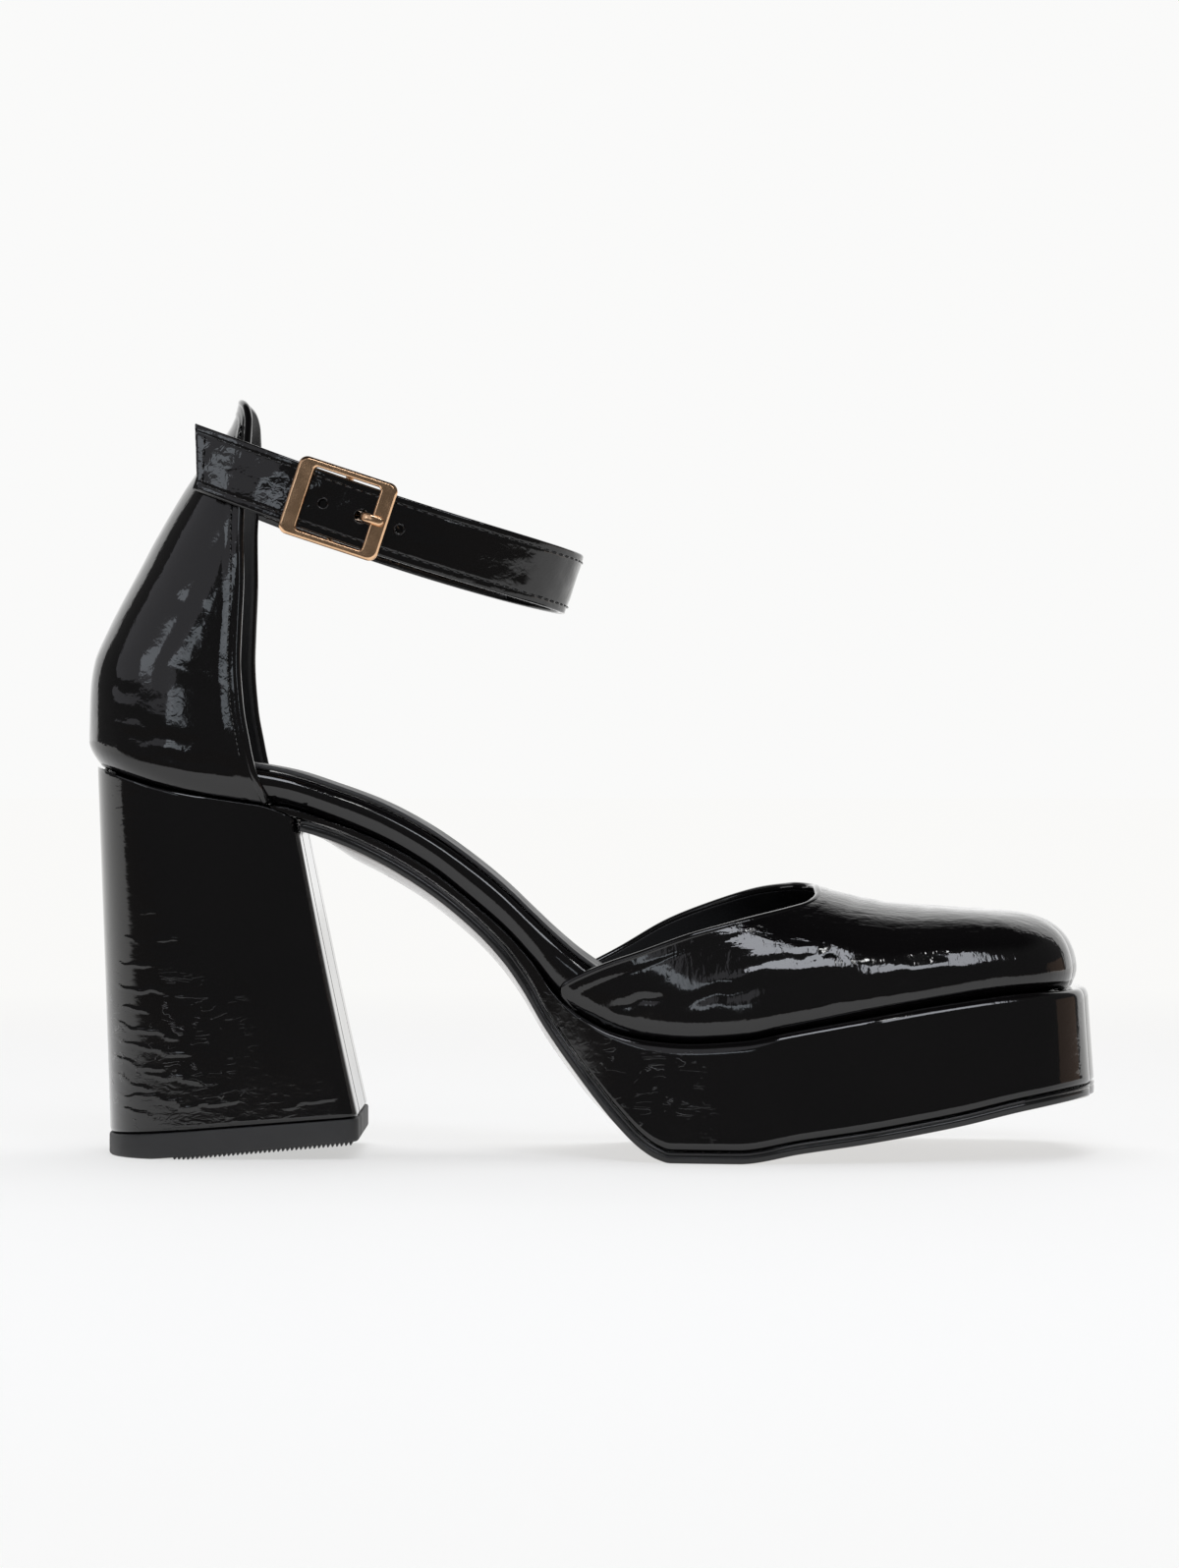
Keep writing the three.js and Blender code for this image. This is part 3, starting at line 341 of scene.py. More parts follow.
# Materials
class Nodes:
    """The node tree of a material or world, with short calls for nodes and links."""

    def __init__(self, owner, shader="Principled BSDF", place="Object"):
        owner.use_nodes = True
        self.tree = owner.node_tree
        self.shader = self.tree.nodes[shader]
        self.place = self.add("ShaderNodeTexCoord").outputs[place]

    def add(self, kind, **settings):
        node = self.tree.nodes.new(kind)
        for key, value in settings.items():
            setattr(node, key, value)
        return node

    def put(self, socket, value):
        if isinstance(value, bpy.types.NodeSocket):
            self.tree.links.new(value, socket)
        else:
            socket.default_value = value

    def fill(self, kind, *values, **settings):
        """A node whose first inputs are filled in turn; its first output."""
        node = self.add(kind, **settings)
        for socket, value in zip(node.inputs, values):
            self.put(socket, value)
        return node.outputs[0]

    def named(self, kind, output, **values):
        """A node whose inputs are filled by name, apart from those given as None; one of its outputs."""
        node = self.add(kind)
        for name, value in values.items():
            if value is not None:
                self.put(node.inputs[name], value)
        return node.outputs[output]

    def shade(self, **values):
        """Fills the shader's inputs, named with _ for a space."""
        for name, value in values.items():
            self.put(self.shader.inputs[name.replace("_", " ")], value)

    def math(self, operation, *values):
        return self.fill("ShaderNodeMath", *values, operation=operation)

    def product(self, one, two):
        return self.math("MULTIPLY", one, two)

    def parts(self, vector):
        """A vector's X, Y and Z."""
        node = self.add("ShaderNodeSeparateXYZ")
        self.put(node.inputs[0], vector)
        return node.outputs

    def stretched(self, scale):
        """The place on the object, scaled along x, y and z."""
        return self.named("ShaderNodeMapping", 0, Vector=self.place, Scale=scale)

    def noise(self, scale, detail=2.0, rough=0.5, distortion=0.0, place=None):
        return self.named(
            "ShaderNodeTexNoise", "Fac",
            Vector=place or self.place, Scale=scale, Detail=detail, Roughness=rough, Distortion=distortion,
        )

    def span(self, value, low, high, to_low=0.0, to_high=1.0):
        steps = (value, low, high, to_low, to_high)
        return self.fill("ShaderNodeMapRange", *steps, interpolation_type="SMOOTHSTEP")

    def fall(self, value, low, high):
        return self.span(value, low, high, 1.0, 0.0)

    def bump(self, height, strength, distance, below=None):
        return self.named(
            "ShaderNodeBump", "Normal", Height=height, Strength=strength, Distance=distance, Normal=below,
        )

    def tint(self, factor, one, two):
        """Mix of two colours by a factor."""
        node = self.add("ShaderNodeMix", data_type="RGBA")
        for k, value in ((0, factor), (6, one), (7, two)):
            self.put(node.inputs[k], value)
        return node.outputs[2]


def patent_leather(name, crinkle=(1, 1, 1), depth=1.0, cracks=None, top=None):
    """Black patent leather. crinkle squeezes its fine folds along x, y and z; cracks is the reach of thin
    lines, as two x and two z; top is the height over which long fine wrinkles set in."""
    material = bpy.data.materials.new(name)
    n = Nodes(material)
    spot = n.parts(n.place)
    normal = n.bump(n.noise(48, 1.0, 0.4), 0.2, 0.0006)
    normal = n.bump(n.noise(260, 1.0, 0.4), 0.25 * depth, 0.00022, normal)
    normal = n.bump(n.noise(430, 2.0, 0.55, 0.6, n.stretched(crinkle)), 0.42 * depth, 0.00016, normal)
    if cracks:
        x_low, x_high, z_low, z_high = cracks
        level = n.noise(230, 2.0, 0.55, 0.9, n.stretched((0.42, 0.42, 1.7)))
        ridged = n.math("ABSOLUTE", n.math("SUBTRACT", level, 0.5))
        broken = n.span(n.noise(260, 1.0, 0.5), 0.52, 0.58)
        reach = n.product(n.fall(spot["X"], x_low, x_high), n.fall(spot["Z"], z_low, z_high))
        lines = n.product(n.product(n.fall(ridged, 0.003, 0.016), broken), reach)
        normal = n.bump(lines, 0.6, 0.00012, normal)
    if top:
        drawn = n.noise(330, 2.0, 0.6, 0.8, n.stretched((0.4, 1.5, 1.5)))
        normal = n.bump(n.product(drawn, n.span(spot["Z"], *top)), 0.7, 0.00022, normal)
    n.shade(
        Normal=normal,
        Coat_Normal=normal,
        Coat_Weight=0.3,
        Coat_Roughness=0.02,
        Base_Color=n.tint(n.noise(35, 2.0), (0.0022, 0.0021, 0.0024, 1), (0.0048, 0.0042, 0.0044, 1)),
        Roughness=n.span(n.noise(60, 3.0), 0.35, 0.7, 0.05, 0.09),
    )
    return material


def grained(name, color, grain, strength, patches, rough, metal=0.0, underside=None):
    """Plain material with a fine grain and a roughness that varies in patches. The underside can be paler."""
    material = bpy.data.materials.new(name)
    n = Nodes(material)
    if underside:
        facing = n.parts(n.add("ShaderNodeNewGeometry").outputs["Normal"])
        level = n.fall(n.math("ABSOLUTE", facing["Y"]), 0.42, 0.5)
        color = n.tint(n.product(level, n.fall(facing["Z"], -0.4, -0.3)), color, underside)
    n.shade(
        Base_Color=color,
        Metallic=metal,
        Normal=n.bump(n.noise(*grain), strength, 0.0002),
        Roughness=n.span(n.noise(patches, 3.0), *rough),
    )
    return material


MATERIALS = {
    "patent_black": patent_leather("patent_black", depth=0.5),
    "sole_rubber": grained(
        "sole_rubber", (0.012, 0.012, 0.01236, 1), (620, 2.0, 0.5), 0.03, 90, (0.3, 0.7, 0.08, 0.20),
        underside=(0.50, 0.475, 0.455, 1),
    ),
    "lift_rubber": grained(
        "lift_rubber", (0.03, 0.03, 0.0309, 1), (620, 2.0, 0.5), 0.03, 90, (0.3, 0.7, 0.56, 0.68),
    ),
    "lining_black": grained(
        "lining_black", (0.02, 0.02, 0.021, 1), (1300, 3.0, 0.6), 0.2, 120, (0.3, 0.7, 0.42, 0.55),
    ),
    "pale_gold": grained(
        "pale_gold", (0.90, 0.57, 0.34, 1), (1400, 3.0, 0.6), 0.012, 300, (0.35, 0.7, 0.17, 0.24), 1.0,
    ),
}

FINISHES = {
    "heel_cover": patent_leather("patent_heel", (0.6, 0.6, 1.4), 0.35, (0.006, 0.034, 0.024, 0.050)),
    "platform_cover": patent_leather("patent_platform", (1, 1, 1), 0.3, (0.118, 0.146, 0.026, 0.046)),
    "footbed_board": patent_leather("patent_board", depth=0.3),
    "vamp_skin": patent_leather("patent_vamp", (1.5, 1.5, 0.5), 0.85, top=(0.050, 0.056)),
    "counter_skin": patent_leather("patent_counter", (1, 1, 1), 0.6),
    "strap": patent_leather("patent_strap", (1, 1, 1.2), 1.1),
    "short_strap": patent_leather("patent_short_strap", depth=0.9),
}

for row in frame["record"]["subparts"]:
    node = frame["nodes"][row["node"]]
    node.data.materials.clear()
    node.data.materials.append(MATERIALS[row["material_slot"]])


# Footbed board
def board():
    outline = ring_of(plan_pairs(0, 1))
    # share of the height, inset
    rows = [
        (0, 1.0), (0.02, 0.55), (0.05, 0.2), (0.10, 0), (0.20, 0), (0.30, 0), (0.42, 0), (0.54, 0),
        (0.66, 0.05), (0.76, 0.2), (0.85, 0.5), (0.92, 0.95), (0.97, 1.5), (1, 2.2), (1, 3.4),
    ]
    inside = WALL + GAP + 0.35

    def inset(share, extra):
        def at(x):
            hidden = 0.9 * smooth(along_of(x), 0.50, 0.56)
            rise = share * (bed_at(x) - seat_at(x))
            return inside + extra + hidden + curl_at(x, rise)
        return at

    def height(share):
        return lambda x: lerp(seat_at(x) + upright(seat_at, x, GAP), bed_at(x), share)

    rings = [ring_at(outline, inset(share, extra), height(share)) for share, extra in rows]
    loft("footbed_board", rings, "patent_black", "insole_board")


def sock():
    outline = ring_of(plan_pairs(0, 1))
    inset = WALL + 2.7
    # rise over the board, inset
    rows = [(0.3, 0.3), (0.3, 0), (0.9, 0), (1.2, 0.1), (1.42, 0.35), (1.5, 0.8), (1.5, 2)]
    rings = [
        ring_at(outline, lambda x, e=extra: inset + e, lambda x, r=rise: bed_at(x) + r)
        for rise, extra in rows
    ]
    loft("sock", rings, "lining_black", "sock_lining")


# Platform and outsole
TAIL_START = 0.186
SOLE_START = 0.2135


def ledge_at(x):
    return lerp(-WAIST_INSET, LEDGE, smooth(along_of(x), 0.44, 0.52))


def flare_at(x):
    return FLARE * smooth(along_of(x), 0.5, 0.6)


def platform():
    outline = ring_of(plan_pairs(TAIL_START, SOLE_START)[:-1] + plan_pairs(SOLE_START, 1))
    # share of the height, share of the flare, inset in radii of the edge
    rows = [(0, 1, 2.0), (0, 1, 0.7), (0.01, 1, 0.25), (0.03, 1, 0)]
    rows += [(share, 1 - share, 0) for share in np.linspace(0.08, 0.90, 22)]
    rows += [(0.93, 0.05, 0.02), (0.955, 0, 0.12), (0.975, 0, 0.32), (0.99, 0, 0.62)]
    rows += [(1, 0, 1.05), (1, 0, 2.0)]

    def inset(flare, extra):
        return lambda x: extra * EDGE_ROUND - ledge_at(x) - flare * flare_at(x)

    def height(share):
        return lambda x: lerp(layer_at(x) + upright(tread_at, x, GAP), seat_at(x), share)

    rings = [ring_at(outline, inset(flare, extra), height(share)) for share, flare, extra in rows]
    # a low pad under the upper, so that no light comes through the joint
    for depth, rise in ((WALL + 2.6, 0), (WALL + 2.9, 0.2)):
        rings.append(ring_at(outline, lambda x, d=depth: d, lambda x, r=rise: seat_at(x) + r))
    loft("platform_cover", rings, "patent_black", "platform")


def outsole():
    edge = inset_ring(ring_of(plan_pairs(SOLE_START, 1)), lambda x: -ledge_at(x) - flare_at(x))
    middle = (edge[0, 0] + edge[len(edge) // 2, 0]) / 2

    def bulge(x):
        return ARCH_BULGE * smooth(along_of(x), 0.22, 0.28) * (1 - smooth(along_of(x), 0.50, 0.57))

    rings = []
    for share in (0.04, 0.15, 0.27, 0.4, 0.52, 0.64, 0.75, 0.85, 0.93, 0.975):
        ring = edge.copy()
        ring[:, 0] = lerp(middle, ring[:, 0], 0.985 + 0.015 * share)
        ring[:, 1] *= share
        drop = 1 - share * share
        rings.append(lift_ring(ring, lambda x, d=drop: tread_at(x) - bulge(x) * d))
    for inset, rise in ((0.35, 0), (0.1, 0.12), (0, 0.4)):
        rings.append(ring_at(edge, lambda x, e=inset: e, lambda x, r=rise: tread_at(x) + r))
    # share of the edge's height, inset, with a shallow groove
    rows = [
        (0.35, 0), (0.55, 0), (0.60, 0.12), (0.64, 0.3), (0.68, 0.3), (0.72, 0.12), (0.77, 0), (0.93, 0),
        (1, 0.3), (1, 1.5),
    ]
    for share, inset in rows:
        rings.append(ring_at(
            edge, lambda x, e=inset: e, lambda x, s=share: lerp(tread_at(x) + 0.4, layer_at(x), s),
        ))
    loft("tread", rings, "sole_rubber", "outsole")


board()
sock()
platform()
outsole()


# Heel
HEEL_LENGTH = 48.0
HEEL_FLARE = 14.6
TOP_BACK = 10.2
BOTTOM_BACK = 7.0
TOP_HALF = 26.0
BOTTOM_HALF = 28.5
BACK_ROUND = 24.0
FRONT_ROUND = 3.5
BACK_SQUARE = 2.4


def heel_ring(share, grow):
    back = -lerp(BOTTOM_BACK, TOP_BACK, share ** 1.1) - grow
    front = lerp(HEEL_LENGTH - BOTTOM_BACK + HEEL_FLARE, HEEL_LENGTH - TOP_BACK + 2.6, share) + grow
    half = lerp(BOTTOM_HALF, TOP_HALF, share) + grow
    rows = []
    for i in range(41):
        angle = (0.004 + 0.996 * i / 40) * math.pi / 2
        x = back + BACK_ROUND * (1 - math.cos(angle) ** (2 / BACK_SQUARE))
        rows.append((x, half * math.sin(angle) ** (2 / BACK_SQUARE)))
    start, stop = back + BACK_ROUND, front - FRONT_ROUND
    rows += [(lerp(start, stop, i / 34), half) for i in range(1, 35)]
    for i in range(1, 9):
        angle = i / 8 * math.pi / 2
        rows.append((front - FRONT_ROUND * (1 - math.sin(angle)), half - FRONT_ROUND * (1 - math.cos(angle))))
    y_end = rows[-1][1]
    for i in range(1, 12):
        if i == 5:
            rows += [(front, y_end * 0.60), (front - 0.35, y_end * 0.585)]
        rows.append((front, y_end * (1 - i / 12)))
    return ring_of([(x, -y, y) for x, y in rows])


def lift_under(x):
    return max(0.0, 0.087 * (x - 5))


def lift_top(x):
    return 5.2 + 0.077 * (x + BOTTOM_BACK)


# start and end of a fold low on the back of the heel (x, z), half width, height
HEEL_FOLDS = [
    (-4, 48, 6, 46.5, 0.30, 0.13), (-5, 42, 9, 40.5, 0.32, 0.15), (-3, 37.5, 5, 35, 0.28, 0.14),
    (-5, 33, 12, 29.5, 0.34, 0.17), (2, 27, 15, 25.5, 0.30, 0.15), (-5, 29, 4, 27.5, 0.28, 0.13),
    (-6, 24.5, 8, 21.5, 0.34, 0.18), (4, 21, 19, 18.5, 0.30, 0.16), (-5, 20.5, 5, 16.5, 0.32, 0.17),
    (-4, 15.5, 12, 14.5, 0.30, 0.17), (8, 15.5, 17, 11.5, 0.28, 0.14), (-3, 12.5, 6, 9.5, 0.30, 0.15),
    (14, 12.5, 27, 14.8, 0.24, 0.11), (24, 10.5, 33, 9.0, 0.24, 0.11), (38, 12.5, 52, 16.0, 0.22, 0.12),
    (2, 60, 8, 59.5, 0.24, 0.08), (6, 53, 13, 53.5, 0.24, 0.09), (-3, 55, 3, 52, 0.24, 0.09),
]


def heel_block():
    # share of the height, how far the ring stands out
    levels = [(0, -1.6), (0, -0.5), (0.004, -0.15), (0.012, 0)]
    levels += [(share, 0) for share in np.linspace(0.016, 0.985, 230)]
    levels += [(0.992, 0), (0.9985, 0), (1, -0.04), (1, -1.6)]
    rings = [
        lift_ring(heel_ring(share, grow), lambda x, s=share: lerp(lift_top(x) + GAP, layer_at(x), s))
        for share, grow in levels
    ]
    # a low pad under the counter, so that no light comes through the joint
    rings.append(lift_ring(heel_ring(1, -2.0), lambda x: layer_at(x) + 0.42))
    count = len(rings[0])
    points = np.concatenate(rings)
    for back, worn in ((4, 0.06), (3, 0.34)):
        ring = points[(len(rings) - back) * count:(len(rings) - back + 1) * count]
        ring[:, 1] -= np.sign(ring[:, 1]) * worn * np.exp(-((ring[:, 0] - 10.5) / 7) ** 4)
    faces = loft_faces(len(rings), count)
    normals = skin_normals(points, faces)
    body = slice(4 * count, (len(rings) - 5) * count)
    near = points[body]
    fade = np.clip((near[:, 0] + 12) / 3, 0, 1) * np.clip((56 - near[:, 0]) / 4, 0, 1)
    points[body] += normals[body] * (crease_depth(near, HEEL_FOLDS, 0, 2) * fade)[:, None]
    build("heel_cover", points, faces, "patent_black", "heel_block")


def heel_lift():
    # share of the height, how far the ring stands out
    rows = [
        (0, -1.2), (0, -0.2), (0.05, 0.1), (0.12, 0.2), (0.5, 0.2), (0.88, 0.2), (0.96, 0.12), (1, -0.1),
        (1, -1.2),
    ]
    rings = [
        lift_ring(heel_ring(0, grow), lambda x, s=share: lerp(lift_under(x), lift_top(x), s))
        for share, grow in rows
    ]
    loft("heel_tip", rings, "lift_rubber", "heel_lift")
    outline = heel_ring(0, -0.1)
    half = outline[:len(outline) // 2]
    half = half[half[:, 0].argsort()]
    parts = []
    first, pitch, deep = 11.0, 1.1, 0.75
    faces = [(0, 1, 5, 4), (1, 2, 6, 5), (2, 3, 7, 6), (3, 0, 4, 7), (3, 2, 1, 0), (4, 5, 6, 7)]
    for k in range(46):
        x = first + k * pitch
        if x > half[-1, 0] - 0.9:
            break
        reach = abs(np.interp(x, half[:, 0], half[:, 1])) - 0.05
        z = lift_under(x)
        tooth = min(deep, z - 0.05)
        section = [(x - 0.44, z + 0.25), (x - 0.14, z - tooth), (x + 0.14, z - tooth), (x + 0.44, z + 0.25)]
        parts.append((np.array([(a, y, b) for y in (-reach, reach) for a, b in section]), faces))
    ribs = build("heel_tip_ribs", *joined(parts), "lift_rubber", "heel_lift")
    ribs.data.shade_flat()


# Lines and grids
def run_of(points):
    """Length along a polyline at each of its points."""
    return np.concatenate([[0], np.cumsum(np.linalg.norm(np.diff(points, axis=0), axis=1))])


def at_length(wanted, run, points):
    """The polyline's values at a length, or at each of several."""
    return np.array([np.interp(wanted, run, column) for column in points.T]).T


def arc_resample(points, count):
    """The polyline at evenly spaced lengths."""
    points = np.asarray(points, float)
    run = run_of(points)
    return at_length(np.linspace(0, 1, count) * run[-1], run, points)


def spline(points, count):
    """Centripetal curve through points, evenly spaced."""
    points = [np.array(p, float) for p in points]
    points = [2 * points[0] - points[1]] + points + [2 * points[-1] - points[-2]]
    dense = []
    for i in range(1, len(points) - 2):
        p0, p1, p2, p3 = points[i - 1:i + 3]
        k0 = 0.0
        k1 = k0 + np.linalg.norm(p1 - p0) ** 0.5
        k2 = k1 + np.linalg.norm(p2 - p1) ** 0.5
        k3 = k2 + np.linalg.norm(p3 - p2) ** 0.5
        for t in np.linspace(k1, k2, 24, endpoint=False):
            def between(start, end, one, two):
                return (end - t) / (end - start) * one + (t - start) / (end - start) * two

            middle = between(k1, k2, p1, p2)
            before = between(k0, k2, between(k0, k1, p0, p1), middle)
            after = between(k1, k3, middle, between(k2, k3, p2, p3))
            dense.append(between(k1, k2, before, after))
    dense.append(points[-2])
    return arc_resample(dense, count)


def faces_of(index):
    """Quads between the neighbours of a grid of corners."""
    corners = index.ravel().tolist()
    return [tuple(corners[v] for v in face) for face in grid_faces(*index.shape)]


def skin_normals(points, faces):
    """Unit normals at points, from quads weighted by their area."""
    quads = np.array([face for face in faces if len(face) == 4])
    cross = np.cross(points[quads[:, 2]] - points[quads[:, 0]], points[quads[:, 3]] - points[quads[:, 1]])
    total = np.zeros_like(points)
    for k in range(4):
        np.add.at(total, quads[:, k], cross)
    return total / np.maximum(1e-12, np.linalg.norm(total, axis=1))[:, None]


def distance_to_line(points, line):
    """Least distance from each point to a polyline's corners and the middles between them."""
    line = np.asarray(line, float)
    dense = np.concatenate([line, (line[1:] + line[:-1]) / 2])
    flat = points.reshape(-1, 3)
    best = np.full(len(flat), 1e9)
    for start in range(0, len(dense), 64):
        part = dense[start:start + 64]
        gap = np.linalg.norm(flat[:, None, :] - part[None, :, :], axis=2).min(axis=1)
        best = np.minimum(best, gap)
    return best.reshape(points.shape[:-1])


def lump(x, y, z):
    """Smooth noise from -1 to 1."""
    return noise.noise(Vector((x, y, z)))


def soft_noise(points, size, seed):
    """Smooth noise from -1 to 1 at each point, with lumps about size millimetres across."""
    flat = points.reshape(-1, 3) / size
    values = [lump(p[0] + seed, p[1] - seed, p[2]) for p in flat]
    return np.array(values).reshape(points.shape[:-1])


def around(count):
    """Cosine and sine at even steps round a circle."""
    angles = [2 * math.pi * i / count for i in range(count)]
    return [(math.cos(angle), math.sin(angle)) for angle in angles]


def tube(points, radius, sides, closed=False, ups=None):
    """Points and faces of a round bead along a line."""
    points = np.asarray(points, float)
    if closed:
        run = unit(np.roll(points, -1, axis=0) - np.roll(points, 1, axis=0))
    else:
        run = unit(np.gradient(points, axis=0))
    if ups is None:
        side = unit(np.cross(run, np.array([0.12, 0.23, 1.0])))
        up = np.cross(side, run)
    else:
        up = unit(ups - run * (ups * run).sum(axis=1)[:, None])
        side = np.cross(run, up)
    rings = [p + radius * (c * s + d * u) for p, s, u in zip(points, side, up) for c, d in around(sides)]
    if closed:
        return np.array(rings), grid_faces(len(points), sides, True, True)
    return np.array(rings), tube_faces(len(points), sides)


def tube_faces(rows, sides):
    """Quads round a row of rings and a flat face at either end."""
    last = (rows - 1) * sides
    ends = [tuple(reversed(range(sides))), tuple(range(last, last + sides))]
    return grid_faces(rows, sides, wrap=True) + ends


def joined(parts):
    """Several (points, faces) in one list of points and one of faces."""
    points, faces, base = [], [], 0
    for p, f in parts:
        points.append(p)
        faces += [tuple(i + base for i in face) for face in f]
        base += len(p)
    return np.concatenate(points), faces


def shell(name, outer, inner, index, slot, node):
    """Closed skin between two grids of points that share an index of welded corners."""
    count = len(outer)
    faces = []
    edges = {}
    for loop in faces_of(index):
        loop = [v for k, v in enumerate(loop) if v != loop[k - 1]]
        if len(set(loop)) > 2:
            faces.append(tuple(loop))
            edges.update(dict.fromkeys(zip(loop, loop[1:] + loop[:1])))
    faces += [tuple(v + count for v in reversed(face)) for face in faces]
    faces += [(b, a, a + count, b + count) for a, b in edges if (b, a) not in edges]
    build(name, np.concatenate([outer, inner]), faces, slot, node)


# Upper
TOPLINE_FINE = spline([(x_of(a), b * VAMP_HEIGHT, x_of(c), d * VAMP_HEIGHT) for a, b, c, d in TOPLINE], 110)


def kept(x, y, z):
    """Whether a point of the vamp is ahead of and below the topline."""
    blend = min(1.0, max(0.0, (y + 12) / 24))
    line = TOPLINE_FINE[:, :2] * (1 - blend) + TOPLINE_FINE[:, 2:] * blend
    if x > line[-1, 0]:
        return True
    before, after = line[:-1], line[1:]
    across = (before[:, 0] - x) * (after[:, 0] - x) <= 0
    if not across.any():
        return False
    run = after[across, 0] - before[across, 0]
    share = (x - before[across, 0]) / np.where(run == 0, 1, run)
    heights = before[across, 1] + (after[across, 1] - before[across, 1]) * share
    if x >= line[0, 0]:
        return z <= heights.max()
    return heights.min() <= z <= heights.max()


CROWN_START = 0.83
CROWN_HOLD = 0.4
CROWN_LEAN = 0.6
HALF_TURN = math.pi / 2


def dome(spot, crown, turn):
    """Point of the vamp on the way from the outline, at turn 0, to the ridge, at a quarter turn."""
    power = square_curve(along_of(spot[0]))
    level = math.sin(turn) ** (2 / power)
    seat = seat_at(spot[0]) + GAP
    rise = level * (ridge_at(crown[0]) - seat)
    pull = max(0.0, math.cos(turn)) ** (2 / power)
    low = spot - crown
    reach = max(0.0, pull - curl_at(spot[0], rise) / np.linalg.norm(low))
    point = crown + low * reach
    return np.array([point[0], point[1], seat + rise])


def vamp_at(side, x, turn):
    """Point of the vamp at a place along the shoe, on its outer (-1) or inner side."""
    along = along_of(x)
    outer, inner = half_at(along, outer_curve), half_at(along, inner_curve)
    spot = np.array([x, -outer if side < 0 else inner])
    return dome(spot, np.array([x, (inner - outer) / 2 * CROWN_LEAN]), turn)


def crossing(test, outside, inside):
    """Where a test turns true between two values."""
    for _ in range(18):
        middle = (outside + inside) / 2
        if test(middle):
            inside = middle
        else:
            outside = middle
    return inside


def row_shares(rows):
    shares = np.linspace(0, 1, rows)
    return shares * 0.75 + 0.25 * (1 - (1 - shares) ** 2)


WING_END = 0.4975
WING_COLUMNS = 8
TOPLINE_STEPS = 64
PAST_THROAT = 14.0


def vamp_side(side, rows):
    """Columns of points on one side, from the tip of the wing to where the toe begins to round."""
    shares = row_shares(rows)
    columns = []

    def inside(x, turn):
        return kept(*vamp_at(side, x, turn))

    tip = along_of(TOPLINE_FINE[:, 0 if side < 0 else 2].min()) + 0.0014
    for along in np.linspace(tip, WING_END, WING_COLUMNS + 1)[:-1]:
        x = x_of(along)
        turns = np.linspace(0, HALF_TURN, 240)
        within = [inside(x, t) for t in turns]
        first, last = within.index(True), len(within) - 1 - within[::-1].index(True)
        low = crossing(lambda t: inside(x, t), turns[first - 1], turns[first]) if first else 0.0
        high = crossing(lambda t: inside(x, t), turns[last + 1], turns[last])
        columns.append([vamp_at(side, x, lerp(low, high, share)) for share in shares])
    throat = crossing(lambda x: inside(x, HALF_TURN), x_of(0.72), x_of(0.76))
    line = []
    for x in lerp(x_of(WING_END), throat, 1 - (1 - np.linspace(0, 1, 260)) ** 3):
        line.append((x, crossing(lambda t: inside(x, t), HALF_TURN, 0.02)))
    line[-1] = (throat, HALF_TURN)
    run = run_of(np.array([vamp_at(side, x, turn) for x, turn in line]))
    line = np.array(line)
    base_end = throat + PAST_THROAT
    for k in range(TOPLINE_STEPS + 1):
        base = lerp(x_of(WING_END), base_end, k / TOPLINE_STEPS)
        top = at_length(run[-1] * k / TOPLINE_STEPS, run, line)
        columns.append([vamp_at(side, lerp(base, top[0], share ** 1.3), top[1] * share) for share in shares])
    ahead = x_of(CROWN_START)
    for k in range(1, 25):
        base = lerp(base_end, ahead, k / 24)
        top = base + (throat - base_end) * (1 - smooth(k / 24, 0, 1))
        columns.append([vamp_at(side, lerp(base, top, share ** 1.3), HALF_TURN * share) for share in shares])
    return columns


def vamp_grid():
    """Columns of the vamp from the outer wing round the toe to the inner wing, and which of them end open."""
    rows = 48
    corner = TOE_CORNER / LENGTH
    alongs = list(np.linspace(CROWN_START, 1 - corner, 18))[1:]
    alongs += [1 - corner + corner * math.sin(i / 16 * HALF_TURN) for i in range(1, 17)]
    pairs = [pair_at(a) for a in alongs]
    last = pairs[-1]
    ring = ring_of(pairs + crown_pairs(last, [0.97 - 0.06 * i for i in range(16)] + [0.02]))
    toe = []
    for spot, other in zip(ring, ring[::-1]):
        along = min(1.0, along_of(spot[0]))
        middle = (last[1] + last[2]) / 2 if along >= 1.0 else (spot[1] + other[1]) / 2
        crown = np.array([x_of(CROWN_START + (along - CROWN_START) * CROWN_HOLD), middle * CROWN_LEAN])
        toe.append([dome(spot, crown, HALF_TURN * share) for share in row_shares(rows)])
    columns = np.array(vamp_side(-1, rows) + toe + vamp_side(1, rows)[::-1])
    closed_from = WING_COLUMNS + TOPLINE_STEPS
    open_edge = [i < closed_from or i >= len(columns) - closed_from for i in range(len(columns))]
    return columns, open_edge


# start and end of a crease seen from the outer side (x, z), half width, depth (a ridge below zero), side
VAMP_CREASES = [
    (134, 38.5, 168, 45.0, 1.5, 0.30, -1), (150, 47.5, 176, 51.0, 1.3, 0.26, -1),
    (140, 43.0, 158, 47.5, 1.0, -0.2, -1), (178, 43.0, 204, 45.5, 1.6, 0.28, -1),
    (186, 49.0, 208, 49.5, 1.2, 0.2, -1), (118, 37.5, 131, 40.0, 1.2, 0.25, -1),
    (168, 38.5, 190, 41.0, 1.1, -0.18, -1), (132, 38.0, 164, 44.0, 1.5, 0.28, 1),
    (152, 46.0, 180, 50.5, 1.3, 0.24, 1), (182, 42.5, 206, 45.0, 1.6, 0.26, 1),
    (120, 37.0, 134, 39.5, 1.2, 0.22, 1),
]
